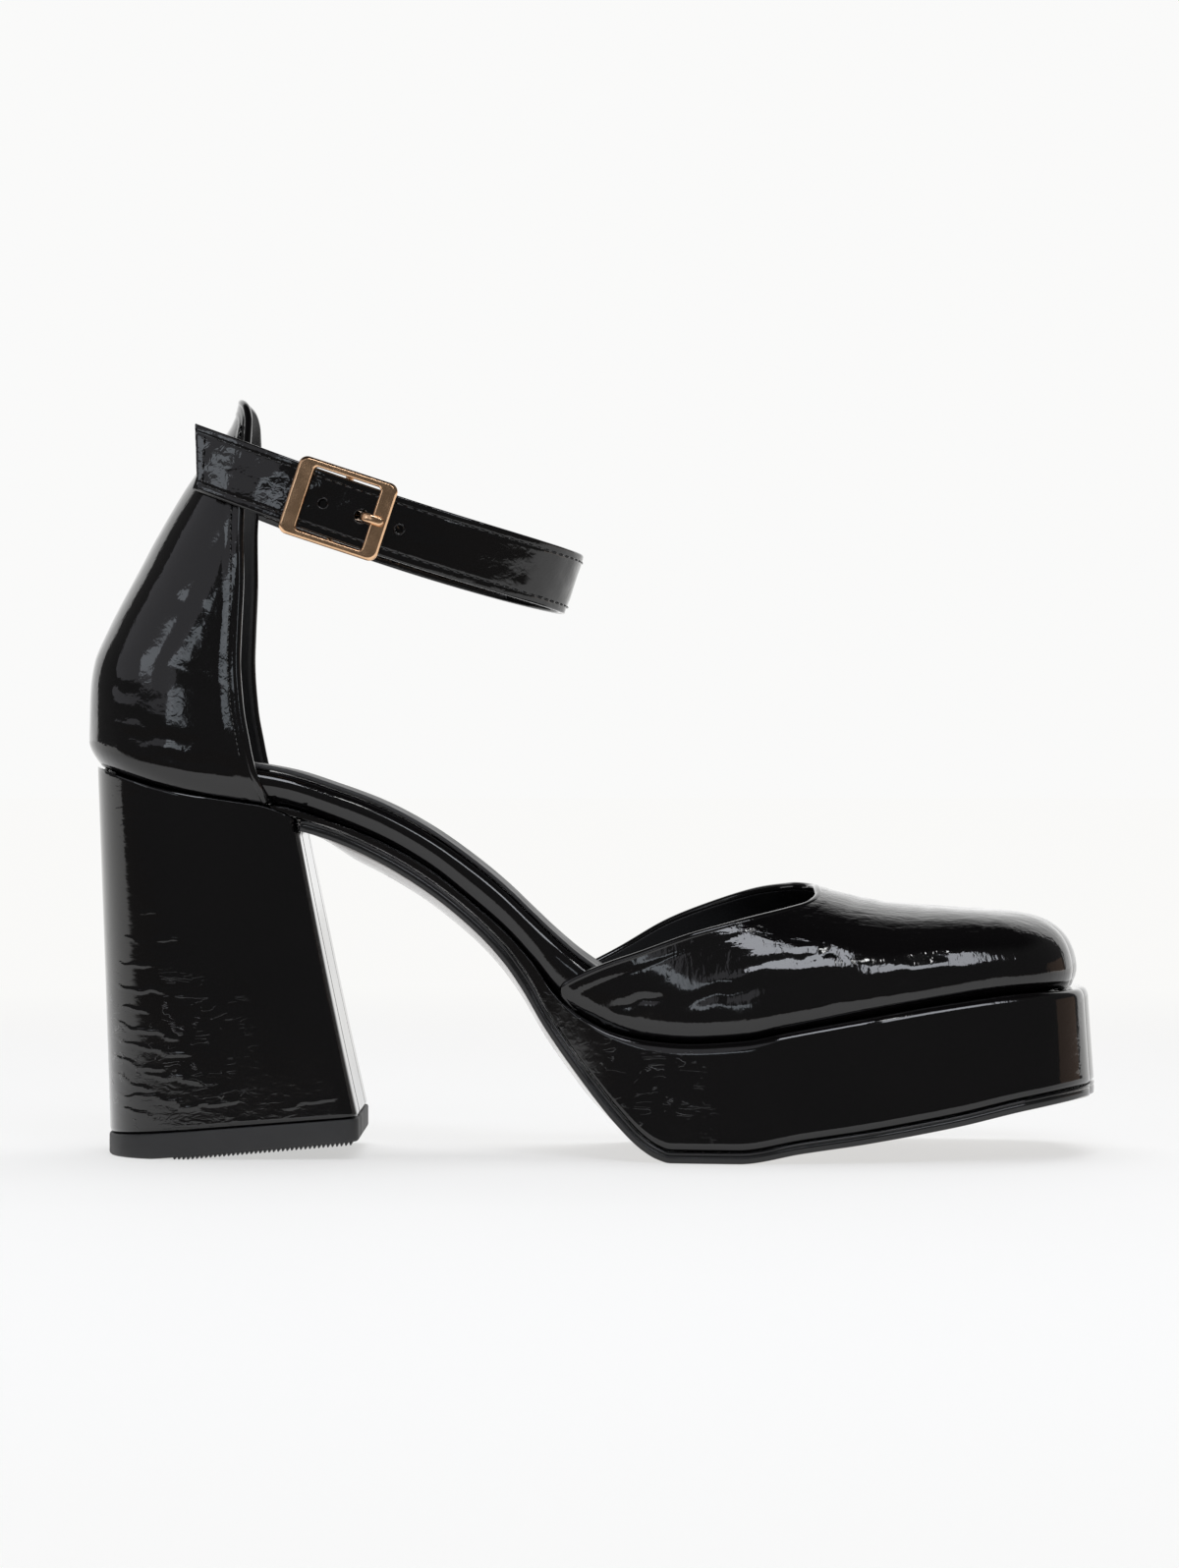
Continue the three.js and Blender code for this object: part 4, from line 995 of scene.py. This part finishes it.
# start and end of a crease across the toe seen from above (x, y), half width, depth
TOP_CREASES = [
    (176, -24, 182, 6, 1.6, 0.22), (184, -14, 190, 22, 1.8, 0.2), (193, -26, 198, 4, 1.4, 0.18),
    (202, -10, 208, 20, 1.6, 0.18), (172, 2, 179, 24, 1.4, 0.18), (208, -28, 214, -8, 1.3, 0.16),
]


def crease_depth(points, rows, first, second):
    """Sum of soft troughs along straight lines in one view of the points, some on one side only."""
    total = np.zeros(len(points))
    px, pz = points[:, first], points[:, second]
    for x1, z1, x2, z2, half, depth, *side in rows:
        length = math.hypot(x2 - x1, z2 - z1)
        t = np.clip(((px - x1) * (x2 - x1) + (pz - z1) * (z2 - z1)) / length ** 2, 0, 1)
        wave = 0.9 * np.sin(px * 0.55 + x1) + 0.5 * np.sin(px * 1.3 + z1)
        gap = np.hypot(px - x1 - t * (x2 - x1), pz - z1 - t * (z2 - z1) + 0.5 * wave)
        fade = np.sin(np.pi * np.clip(t, 0.02, 0.98)) ** 0.6
        amount = depth * fade * np.exp(-(gap / half) ** 2)
        total += amount * (np.sign(points[:, 1]) == side[0]) if side else amount
    return total


def above_seat(points):
    """From 0 at the seat of the upper to 1 a little above it."""
    return np.clip((points[:, 2] - np.array([seat_at(x) for x in points[:, 0]]) - 1) / 3, 0, 1)


def dressed(node, points, normals, offset, index, edge, bead):
    """Leather, lining and folded rim of one half of the upper. Returns the points of the leather."""
    skin = points + normals * offset[:, None]
    between = points - normals * (WALL - LINING)
    shell(node + "_skin", skin, between, index, "patent_black", node)
    shell(node + "_lining", between, points - normals * WALL, index, "lining_black", node)
    line = (skin - normals * (WALL / 2 - 0.1))[edge]
    keep = [0]
    for i in range(1, len(line)):
        if np.linalg.norm(line[i] - line[keep[-1]]) > 0.35:
            keep.append(i)
    line = arc_resample(line[keep], 400)
    for _ in range(3):
        line[1:-1] = (line[:-2] + 2 * line[1:-1] + line[2:]) / 4
    build(node + "_edge", *tube(line, WALL / 2 + bead, 12), "patent_black", node)
    return skin


def vamp():
    grid, open_edge = vamp_grid()
    columns, rows = grid.shape[:2]
    index = np.arange(columns * rows).reshape(columns, rows)
    for i in range(columns // 2):
        if not open_edge[i]:
            index[columns - 1 - i, -1] = index[i, -1]
    tips = [i for i in range(columns) if np.linalg.norm(grid[i, -1] - grid[columns // 2, -1]) < 0.02]
    index[tips, -1] = index[tips[0], -1]
    points = grid.reshape(-1, 3)
    normals = -skin_normals(points, faces_of(index))
    index = index[:, ::-1]
    split = open_edge.index(False)
    resume = columns - open_edge[::-1].index(False)
    wing = WING_COLUMNS + 1
    edge = np.concatenate([
        index[:wing, -1][::-1], index[:split + 1, 0], index[resume:, 0], index[-wing:, -1][::-1],
    ])
    gap = distance_to_line(points, points[edge])
    folded = 0.09 * (1 - np.clip((gap - 2.2) / 1.2, 0, 1))
    hollow = -0.03 * np.exp(-((gap - 3.4) / 0.5) ** 2)
    soft = 0.11 * soft_noise(points, 14, 3.1) + 0.035 * soft_noise(points, 4.5, 7.7)
    creases = crease_depth(points, VAMP_CREASES, 0, 2)
    creases += crease_depth(points, TOP_CREASES, 0, 1) * (points[:, 2] > 52)
    ease = np.clip(gap / 3, 0, 1)
    offset = folded + hollow + (soft - creases) * ease * above_seat(points)
    dressed("vamp", points, normals, offset, index, edge, 0.12)


# Counter
SEAT_BACK = seat_at(x_of(0)) + GAP
STITCH_INSET = 2.2
STITCH_PITCH = 2.5
STITCH_LENGTH = 1.8
STITCH_RADIUS = 0.24


def level_of(z):
    return (z - SEAT_BACK) / (COUNTER_TOP - SEAT_BACK)


def counter_ring(level, outline):
    height = lerp(SEAT_BACK, COUNTER_TOP, level)
    ring = np.column_stack([outline[:, 0] + back_curve(level) * LENGTH, outline[:, 1] * wide_curve(level)])
    inner = inset_ring(ring, lambda x: curl_at(x, height - SEAT_BACK))
    fall = [(seat_at(x) + GAP - SEAT_BACK) * (1 - flat_curve(level)) for x in inner[:, 0]]
    return np.column_stack([inner, height + np.array(fall)])


def counter_grid():
    outline = ring_of(plan_pairs(0, 0.30))
    middle = len(outline) // 2
    levels = list(np.linspace(0, 0.05, 10)) + list(np.linspace(0.05, 0.94, 78))[1:]
    levels += [0.94 + 0.0585 * math.sin(i / 14 * HALF_TURN) for i in range(1, 15)]
    rows = []
    for level in levels:
        ring = counter_ring(level, outline)
        back = (ring[0] + ring[-1]) / 2
        halves = []
        for half in (ring[:middle], ring[middle:][::-1]):
            path = np.concatenate([[back], half])
            ahead = [p[0] - x_of(edge_curve(level_of(p[2]))) for p in path]
            stop = next((i for i, a in enumerate(ahead) if a > 0), len(path) - 1)
            stop = max(1, stop)
            before, after = ahead[stop - 1], ahead[stop]
            share = 0.5 if after == before else min(1.0, max(0.02, -before / (after - before)))
            end = lerp(path[stop - 1], path[stop], share)
            halves.append(arc_resample(np.concatenate([path[:stop], [end]]), 56))
        rows.append(np.concatenate([halves[0][::-1], halves[1][1:]]))
    return np.array(rows)


# start and end (x, z), half width, depth, side
COUNTER_CREASES = [
    (-6, 104, 18, 101.5, 1.3, 0.3, -1), (-8, 109, 8, 106, 1.0, 0.22, -1), (6, 98, 26, 95.5, 1.2, 0.25, -1),
    (-10, 118, 2, 113, 1.6, 0.2, -1), (8, 121, 24, 116, 1.8, 0.18, -1), (2, 140, 20, 133, 2.2, 0.16, -1),
    (-6, 103, 20, 100, 1.3, 0.28, 1), (4, 112, 24, 107, 1.4, 0.2, 1), (0, 132, 18, 127, 2.0, 0.16, 1),
]


def counter():
    grid = counter_grid()
    rows, columns = grid.shape[:2]
    index = np.arange(rows * columns).reshape(rows, columns)
    points = grid.reshape(-1, 3)
    normals = -skin_normals(points, faces_of(index))
    index = index[:, ::-1]
    edge = np.concatenate([index[:, 0], index[-1, 1:-1], index[::-1, -1]])
    gap = distance_to_line(points, points[edge])
    folded = 0.2 * (1 - np.clip((gap - 2.9) / 0.6, 0, 1))
    stitched = -0.12 * np.exp(-((gap - STITCH_INSET) / 0.35) ** 2)
    hollow = -0.1 * np.exp(-((gap - 3.7) / 0.35) ** 2)
    across = np.abs(points[:, 1])
    back_seam = -0.16 * np.exp(-(across / 0.4) ** 2) * (points[:, 0] < 30)
    back_seam += 0.1 * np.exp(-((across - 1.6) / 1.0) ** 2)
    soft = 0.12 * soft_noise(points, 15, 5.3) + 0.03 * soft_noise(points, 4.2, 1.7)
    creases = crease_depth(points, COUNTER_CREASES, 0, 2)
    ease = np.clip(gap / 4, 0, 1)
    offset = folded + stitched + hollow + back_seam * ease + (soft - creases) * ease * above_seat(points)
    skin = dressed("counter", points, normals, offset, index, edge, 0.1)
    stitch_rows(skin[index], normals[index])


def stitch_at(middle, run, out):
    """Points and faces of one stitch: a short pillow sunk a little in the leather."""
    shares = (-0.5, -0.42, -0.2, 0.0, 0.2, 0.42, 0.5)
    lifts = (-0.22, 0.06, 0.19, 0.23, 0.19, 0.06, -0.22)
    line = np.array([middle + run * STITCH_LENGTH * s + out * l for s, l in zip(shares, lifts)])
    return tube(line, STITCH_RADIUS, 6, ups=np.tile(out, (len(line), 1)))


def stitch_rows(skin, normals):
    """Stitches along both front edges of the counter, as grids of points whose rows end there."""
    parts = []
    for step in (1, -1):
        path, outs = [], []
        for edge, out in zip(skin[12:-12, ::step], normals[12:-12, ::step]):
            run = run_of(edge)
            path.append(at_length(STITCH_INSET, run, edge))
            outs.append(at_length(STITCH_INSET, run, out))
        path, outs = np.array(path), np.array(outs)
        run = run_of(path)
        for k in range(1, int(run[-1] / STITCH_PITCH)):
            before, spot, after = [at_length((k + d) * STITCH_PITCH, run, path) for d in (-0.3, 0, 0.3)]
            out = at_length(k * STITCH_PITCH, run, outs)
            out /= np.linalg.norm(out)
            along = after - before
            parts.append(stitch_at(spot, along / np.linalg.norm(along), out))
    build("counter_stitches", *joined(parts), "patent_black", "counter")


heel_block()
heel_lift()
vamp()
counter()


# Straps and buckle, in the tilted plane of the strap
TILT = math.radians(18.2)
STRAP_WIDTH = 15.4
STRAP_THICK = 2.0
BUCKLE_STRAP_THICK = 1.4
SAG = 1.6
LOOP_LENGTH = 96.0
LOOP_HALF = 0.37 * BALL
TAIL_X = 17.2
TAIL_Z = 171.1
SLANT = 0.42
HOLE_PITCH = 9.8
HOLE_RADIUS = 1.1
WORN_RADIUS = 1.6
LOOP = [
    (-0.010, -0.765), (0.080, -0.893), (0.190, -0.975), (0.377, -1.000), (0.560, -0.985), (0.700, -0.930),
    (0.840, -0.790), (0.930, -0.560), (0.980, -0.270), (0.990, 0.000), (0.980, 0.270), (0.930, 0.560),
    (0.840, 0.790), (0.700, 0.930), (0.560, 0.985), (0.377, 0.990), (0.220, 0.955),
]
SEATED = (0.125, 0.095, 0.065, 0.035, 0.010)
BAND_INSET = 1.9
BAND_PITCH = 2.6
SLANT_REACH = 9.0
SLANT_INSET = 2.3


def tilted(points):
    """From the plane of the strap (u, y, v) to the shoe."""
    u, y, v = np.asarray(points, float).T
    x = TAIL_X + u * math.cos(TILT) + v * math.sin(TILT)
    z = TAIL_Z - u * math.sin(TILT) + v * math.cos(TILT)
    return np.column_stack([x, y, z])


def sag_at(u):
    share = u / LOOP_LENGTH
    return -SAG * 4 * share * (1 - share)


def counter_half(x, z):
    level = level_of(z)
    along = along_of(x) - back_curve(level)
    return half_at(along, outer_curve) * wide_curve(level) if along > 0 else 0.0


def seat_side(u):
    """Half width of the counter under the band at a place along it."""
    spots = tilted([(u, 0, sag_at(u) + share * STRAP_WIDTH) for share in (-0.5, -0.25, 0, 0.25, 0.5)])
    return max(counter_half(x, z) for x, _, z in spots)


def seated_line(side, thickness):
    points = np.array([(s * LOOP_LENGTH, seat_side(s * LOOP_LENGTH)) for s in SEATED])
    out = GAP + thickness / 2
    line = []
    for i, point in enumerate(points):
        run = points[min(len(points) - 1, i + 1)] - points[max(0, i - 1)]
        run /= np.linalg.norm(run)
        line.append((point[0] + run[1] * out, side * (point[1] - run[0] * out)))
    return line


def band_section(thickness, width):
    """Outline of a folded band: (out, up) with soft edges, a groove between its layers and stitch troughs."""
    half_t, half_w = thickness / 2, width / 2
    face = []
    for up in np.linspace(-half_w + 0.5, half_w - 0.5, 53):
        dip = 0.13 * math.exp(-((half_w - abs(up) - BAND_INSET) / 0.32) ** 2)
        crown = 0.1 * (1 - (up / half_w) ** 4)
        face.append((half_t - 0.1 + crown - dip, up))
    corner = [(half_t - 0.12, half_w - 0.28), (half_t - 0.3, half_w - 0.1), (half_t - 0.55, half_w - 0.03)]
    groove = [(out, half_w - sunk) for out, sunk in ((0.18, 0.02), (0.08, 0.12), (0.0, 0.2))]
    top = corner + groove + [(-out, up) for out, up in reversed(corner + groove[:-1])]
    back = [(-half_t + 0.04, up) for up in np.linspace(half_w - 0.5, -half_w + 0.5, 14)]
    return face + top + back + [(a, -b) for a, b in reversed(top)]


def band(name, line, thickness, steps, slant, node, stitched, flaw):
    """Folded band along a line in the strap's plane. slant leans its start; stitched is a span of shares."""
    path = spline(line, steps)
    heading = unit(np.gradient(path, axis=0))
    section = band_section(thickness, STRAP_WIDTH)
    length = run_of(path)
    points = []
    for run, spot, (dx, dy) in zip(length, path, heading):
        lean = slant * max(0.0, 1 - run / SLANT_REACH)
        wave = flaw * (0.35 * lump(run / 9, 3.7, 0.4) + 0.15 * lump(run / 3.1, 9.2, 1.4))
        for out, up in section:
            dimple = flaw * 0.12 * lump(run / 5.0, up / 4.0, 2.0 if out > 0 else 7.0)
            shift = -lean * up
            away = out + (dimple if out > 0.4 else 0.0) + 0.25 * wave
            points.append((
                spot[0] + dy * away + dx * shift, spot[1] - dx * away + dy * shift, sag_at(spot[0]) + up,
            ))
    count = len(section)
    faces = grid_faces(len(path), count, wrap=True)
    faces.append(tuple(range(count)))
    faces.append(tuple(reversed(range((len(path) - 1) * count, len(path) * count))))
    piece = build(name, tilted(points), faces, "patent_black", node)
    parts = []

    def stitch(spot, up, along, out, sunk):
        middle = np.array([spot[0], spot[1], sag_at(spot[0])]) + up + out * (thickness / 2 - sunk)
        turned, stitch_faces = stitch_at(middle, along / np.linalg.norm(along), out)
        parts.append((tilted(turned), stitch_faces))

    for k in range(1, int(length[-1] / BAND_PITCH)):
        if not stitched[0] <= k * BAND_PITCH / length[-1] <= stitched[1]:
            continue
        dx, dy = at_length(k * BAND_PITCH, length, heading)
        along = np.array([dx, dy, 0]) / np.hypot(dx, dy)
        for up in (STRAP_WIDTH / 2 - BAND_INSET, -STRAP_WIDTH / 2 + BAND_INSET):
            out = np.array([along[1], -along[0], 0])
            stitch(at_length(k * BAND_PITCH, length, path), np.array([0, 0, up]), along, out, 0.16)
    if slant:
        dx, dy = heading[int(np.searchsorted(length, SLANT_INSET))]
        lean = slant * (1 - SLANT_INSET / SLANT_REACH)
        along = np.array([-dx * lean, -dy * lean, 1.0])
        for up in np.linspace(-4.4, 4.4, 4):
            spot = at_length(SLANT_INSET, length, path)
            stitch(spot, along * up, along, np.array([dy, -dx, 0]), 0.08)
    build(name + "_stitches", *joined(parts), "patent_black", node)
    return piece


STRAP_FACE = LOOP_HALF + STRAP_THICK / 2
FRAME_BACK = STRAP_FACE + GAP
BAR_RADIUS = 1.0
FOLD_RADIUS = BAR_RADIUS + GAP + BUCKLE_STRAP_THICK
BAR_SIDE = STRAP_FACE - STRAP_THICK - GAP - FOLD_RADIUS
BUCKLE_ALONG = 36.2
BUCKLE_RISE = sag_at(BUCKLE_ALONG)
PRONG_HOLE = BUCKLE_ALONG + 5.8
FRAME_LENGTH = 25.1
FRAME_WIDTH = 19.7
FRAME_THICK = 1.6


def cylinder(center, radius, half, sides=28):
    """Points and faces of a cylinder across the strap."""
    x, y, z = center
    points = [(x + radius * c, y + end, z + radius * s) for end in (-half, half) for c, s in around(sides)]
    faces = [(i, i + sides, (i + 1) % sides + sides, (i + 1) % sides) for i in range(sides)]
    faces += [tuple(range(sides)), tuple(reversed(range(sides, 2 * sides)))]
    return tilted(points), faces


def punch(piece, tools):
    """Cuts the tools out of a piece for good and drops them."""
    for tool in tools:
        cut = piece.modifiers.new("cut", "BOOLEAN")
        cut.operation = "DIFFERENCE"
        cut.solver = "EXACT"
        cut.object = tool
    depsgraph = bpy.context.evaluated_depsgraph_get()
    mesh = bpy.data.meshes.new_from_object(piece.evaluated_get(depsgraph))
    piece.modifiers.clear()
    piece.data = mesh
    for tool in tools:
        bpy.data.objects.remove(tool)


def ankle_strap():
    line = [(a * LOOP_LENGTH, s * LOOP_HALF) for a, s in LOOP] + seated_line(1, STRAP_THICK)
    piece = band("strap", line, STRAP_THICK, 330, SLANT, "ankle_strap", (0.012, 0.985), 1.0)
    tools, rims = [], []
    for u, radius in ((-HOLE_PITCH, HOLE_RADIUS), (0, WORN_RADIUS), (HOLE_PITCH, HOLE_RADIUS)):
        u += PRONG_HOLE
        tools.append(mesh_piece("hole", *cylinder((u, -LOOP_HALF, sag_at(u)), radius, 4)))
        rim = radius + 0.16
        circle = [(u + rim * c, -STRAP_FACE + 0.12, sag_at(u) + rim * s) for c, s in around(28)]
        rims.append(tube(tilted(circle), 0.2, 8, closed=True))
    punch(piece, tools)
    build("hole_rims", *joined(rims), "patent_black", "ankle_strap")


def buckle_strap():
    front = BAR_SIDE + FOLD_RADIUS - BUCKLE_STRAP_THICK / 2
    middle = BAR_RADIUS + GAP + BUCKLE_STRAP_THICK / 2
    line = []
    for i in range(13):
        angle = math.pi / 2 + math.pi * 1.35 * (1 - i / 12)
        line.append((BUCKLE_ALONG - middle * math.cos(angle), -BAR_SIDE - middle * math.sin(angle)))
    line += [(BUCKLE_ALONG - 6, -front), (BUCKLE_ALONG - 13, -front + 0.4)]
    line += seated_line(-1, BUCKLE_STRAP_THICK)
    piece = band("short_strap", line, BUCKLE_STRAP_THICK, 120, 0.0, "buckle_strap", (0.35, 0.97), 0.6)
    reach = FOLD_RADIUS + 1
    box = [
        (x, y, z)
        for x in (BUCKLE_ALONG + 0.4 - reach, BUCKLE_ALONG + 0.4 + reach)
        for y in (-BAR_SIDE - 2 * FOLD_RADIUS, -BAR_SIDE + 2 * FOLD_RADIUS)
        for z in (BUCKLE_RISE - 1.4, BUCKLE_RISE + 1.4)
    ]
    faces = [(0, 1, 3, 2), (4, 6, 7, 5), (0, 4, 5, 1), (2, 3, 7, 6), (0, 2, 6, 4), (1, 5, 7, 3)]
    punch(piece, [mesh_piece("slot", tilted(box), faces)])


def rounded_outline(length, width, corner, per_corner=10):
    points = []
    for k, (sx, sz) in enumerate(((1, 1), (-1, 1), (-1, -1), (1, -1))):
        cx, cz = sx * (length / 2 - corner), sz * (width / 2 - corner)
        for i in range(per_corner + 1):
            angle = math.pi / 2 * (k + i / per_corner)
            points.append((cx + corner * math.cos(angle), cz + corner * math.sin(angle)))
    return np.array(points)


def flat_edges(piece, degrees):
    """Keeps edges sharper than this crisp in a smooth mesh."""
    piece.data.shade_smooth()
    piece.data.set_sharp_from_angle(angle=math.radians(degrees))


def buckle_frame():
    post = (FRAME_WIDTH - STRAP_WIDTH) / 2 - GAP
    window_length, window_width = 17.0, FRAME_WIDTH - 2 * post
    # outline, its length and width, which way an inset goes
    outlines = (
        (rounded_outline(FRAME_LENGTH, FRAME_WIDTH, 2.2), FRAME_LENGTH, FRAME_WIDTH, -1),
        (rounded_outline(window_length, window_width, 1.0), window_length, window_width, 1),
    )
    # which outline, inset from it, depth
    profile = [
        (0, 0.25, 0.0), (0, 0.06, 0.06), (0, 0.0, 0.25), (0, 0.0, 1.05), (0, 0.04, 1.12), (0, 0.44, 1.52),
        (0, 0.50, 1.57), (0, 0.60, 1.6), (0, 0.66, 1.6), (1, 0.46, 1.6), (1, 0.40, 1.6), (1, 0.32, 1.57),
        (1, 0.26, 1.52), (1, 0.03, 1.28), (1, 0.0, 1.2), (1, 0.0, 0.25), (1, 0.06, 0.06), (1, 0.25, 0.0),
    ]
    most_x = (FRAME_LENGTH - window_length) / 2 * 0.42
    most_z = (FRAME_WIDTH - window_width) / 2 * 0.42
    rings = []
    for which, inset, depth in profile:
        outline, length, width, sign = outlines[which]
        x = outline[:, 0] * (1 + sign * min(inset, most_x) / (length / 2))
        z = outline[:, 1] * (1 + sign * min(inset, most_z) / (width / 2))
        rings.append(np.column_stack([
            BUCKLE_ALONG + x, np.full(len(x), -FRAME_BACK - depth), BUCKLE_RISE + z,
        ]))
    faces = [(a, d, c, b) for a, b, c, d in grid_faces(len(rings), len(rings[0]), True, True)]
    parts = [(tilted(np.concatenate(rings)), faces)]
    reach = FRAME_BACK + 0.8 - BAR_SIDE
    for side in (-1, 1):
        z = BUCKLE_RISE + side * (FRAME_WIDTH - post) / 2
        line = [(BUCKLE_ALONG, -BAR_SIDE - reach * t, z) for t in np.linspace(-0.06, 1, 12)]
        parts.append(tube(tilted(line), 0.72, 14))
    end = FRAME_WIDTH / 2 - post / 2
    bar = [(BUCKLE_ALONG, -BAR_SIDE, BUCKLE_RISE + z) for z in np.linspace(-end, end, 12)]
    parts.append(tube(tilted(bar), BAR_RADIUS, 20))
    flat_edges(build("buckle", *joined(parts), "pale_gold", "buckle_frame"), 40)


def buckle_prong():
    thick, wide = 1.4, 2.2
    hub = BAR_RADIUS + GAP + 0.9
    rest = FRAME_BACK + FRAME_THICK + GAP + thick / 2
    start = BAR_SIDE + hub - thick / 2
    ring_middle = (BAR_RADIUS + GAP + hub) / 2
    line = []
    for i in range(16):
        angle = math.pi * (2.35 - 1.85 * i / 15)
        line.append((BUCKLE_ALONG + ring_middle * math.cos(angle), -BAR_SIDE - ring_middle * math.sin(angle)))
    line += [
        (PRONG_HOLE - 2.4, -start - 0.1), (PRONG_HOLE - 0.4, -STRAP_FACE + 1.7),
        (PRONG_HOLE + 0.9, -rest + 0.8), (PRONG_HOLE + 2.2, -rest),
        (BUCKLE_ALONG + FRAME_LENGTH / 2 - 0.9, -rest),
    ]
    path = spline(line, 90)
    length = run_of(path)
    points = []
    sides = 20
    for run, spot, (dx, dy) in zip(length, path, unit(np.gradient(path, axis=0))):
        tip = math.sqrt(max(0.0, 1 - max(0.0, 1 - (length[-1] - run) / 1.1) ** 2))
        half_w = wide / 2 * max(0.05, tip)
        half_t = lerp(0.42, thick / 2, smooth(run, 0.0, 3.0)) * max(0.05, 0.4 + 0.6 * tip)
        for c, s in around(sides):
            out = half_t * np.sign(c) * abs(c) ** 0.6
            up = half_w * np.sign(s) * abs(s) ** 0.6
            points.append((spot[0] + dy * out, spot[1] - dx * out, BUCKLE_RISE + up))
    prong = build("prong", tilted(points), tube_faces(len(path), sides), "pale_gold", "buckle_prong")
    flat_edges(prong, 60)


ankle_strap()
buckle_strap()
buckle_frame()
buckle_prong()


# Camera at the photo's angle: level, a little over half the shoe's height
camera_data = bpy.data.cameras.new("camera")
camera_data.lens = 110.5
camera_data.sensor_width = 36
camera_data.clip_start = 0.05
camera_data.clip_end = 100
camera = bpy.data.objects.new("camera", camera_data)
camera.location = (0.1121, -1.2, 0.0915)
camera.rotation_euler = (math.pi / 2, 0, 0)
bpy.context.scene.collection.objects.link(camera)
bpy.context.scene.camera = camera


# Floor and light
AIM = Vector((0.11, 0.0, 0.07))


def floor():
    far_off = 30000
    corners = [(-far_off, -far_off, 0), (far_off, -far_off, 0), (far_off, far_off, 0), (-far_off, far_off, 0)]
    piece = mesh_piece("floor", corners, [(0, 1, 2, 3)])
    material = bpy.data.materials.new("floor")
    n = Nodes(material)
    spot = n.parts(n.place)
    across = n.math("SUBTRACT", spot["X"], AIM.x)
    away = n.math("SQRT", n.math("ADD", n.math("POWER", across, 2.0), n.math("POWER", spot["Y"], 2.0)))
    n.shade(Base_Color=(0.85, 0.853, 0.865, 1), Roughness=0.7, Specular_IOR_Level=0.15)
    # Painted light: the floor mixes a fixed warm glow into its cooler lit colour, 58 percent near the shoe
    # and all of it far off, so the shoe's shadow on the floor is lighter and warmer than the lamps make it.
    glow = n.fill("ShaderNodeEmission", (0.953, 0.950, 0.938, 1))
    # Painted shade: seen in reflections but not by the camera, the floor ahead of the shoe is a dark glow, so
    # the shoe's faces towards the camera mirror a dark front.
    dark = n.fill("ShaderNodeEmission", (0.09, 0.085, 0.08, 1))
    far = n.fill("ShaderNodeMixShader", n.span(away, 0.32, 1.0, 0.58, 1.0), n.shader.outputs[0], glow)
    ahead = n.product(n.span(away, 0.44, 0.70), n.fall(spot["Y"], -0.35, -0.1))
    unseen = n.math("SUBTRACT", 1.0, n.add("ShaderNodeLightPath").outputs["Is Camera Ray"])
    surface = n.fill("ShaderNodeMixShader", n.product(ahead, unseen), far, dark)
    n.put(n.tree.nodes["Material Output"].inputs["Surface"], surface)
    piece.data.materials.append(material)


def panel(name, azimuth, elevation, distance, width, height, glow, color=(1, 1, 1), mirrored=True):
    """Soft light seen from the shoe at an azimuth from the camera towards the toe and an elevation."""
    az, el = math.radians(azimuth), math.radians(elevation)
    place = AIM + distance * Vector((math.sin(az) * math.cos(el), -math.cos(az) * math.cos(el), math.sin(el)))
    data = bpy.data.lights.new(name, "AREA")
    data.shape = "RECTANGLE"
    data.size = width
    data.size_y = height
    data.energy = glow * math.pi * width * height
    data.color = color
    light = bpy.data.objects.new(name, data)
    light.location = place
    light.rotation_euler = (AIM - place).to_track_quat("-Z", "Y").to_euler()
    light.visible_glossy = mirrored
    light.visible_camera = False
    bpy.context.scene.collection.objects.link(light)


floor()
panel("overhead", 180, 76, 1.6, 1.5, 1.3, 3.6, mirrored=False)
panel("front_fill", 0, 60, 1.6, 1.0, 0.6, 1.2, mirrored=False)
panel("vamp_window", 2, 49, 1.0, 0.30, 0.30, 6.0, (0.90, 0.93, 1.0))
panel("toe_window", 26, 34, 1.0, 0.20, 0.22, 5.5, (0.90, 0.93, 1.0))
panel("small_window", 21, 47, 1.0, 0.06, 0.06, 18.0)
panel("left_wall", -55, 29, 1.5, 2.3, 0.95, 0.42, (0.92, 0.92, 1.0))
panel("left_window", -18, 10.5, 1.4, 0.30, 0.10, 1.9, (0.84, 0.92, 1.0))
panel("tail_window", -50, 18.5, 1.4, 0.42, 0.18, 1.6, (0.84, 0.92, 1.0))
panel("toe_wall", 100, 2, 1.4, 0.9, 0.5, 0.22, (1.0, 0.62, 0.42))


def backdrop():
    """White all round for the camera; for reflections white behind and beside, dark in front and overhead."""
    world = bpy.data.worlds.new("studio")
    bpy.context.scene.world = world
    n = Nodes(world, "Background", "Generated")
    toward = n.parts(n.place)
    rear = n.math("MULTIPLY_ADD", n.math("ABSOLUTE", toward["X"]), -0.30, toward["Y"])
    behind = n.span(rear, 0.34, 0.44, 0.09, 1.12)
    overhead = n.span(toward["Z"], 0.62, 0.9, 1.0, 0.12)
    pick = n.add("ShaderNodeMix", data_type="FLOAT")
    n.put(pick.inputs[0], n.add("ShaderNodeLightPath").outputs["Is Camera Ray"])
    n.put(pick.inputs[2], n.product(behind, overhead))
    n.put(pick.inputs[3], 0.955)
    n.shade(Color=(1, 1, 0.995, 1), Strength=pick.outputs[0])


backdrop()

bpy.context.scene.view_settings.view_transform = "Standard"
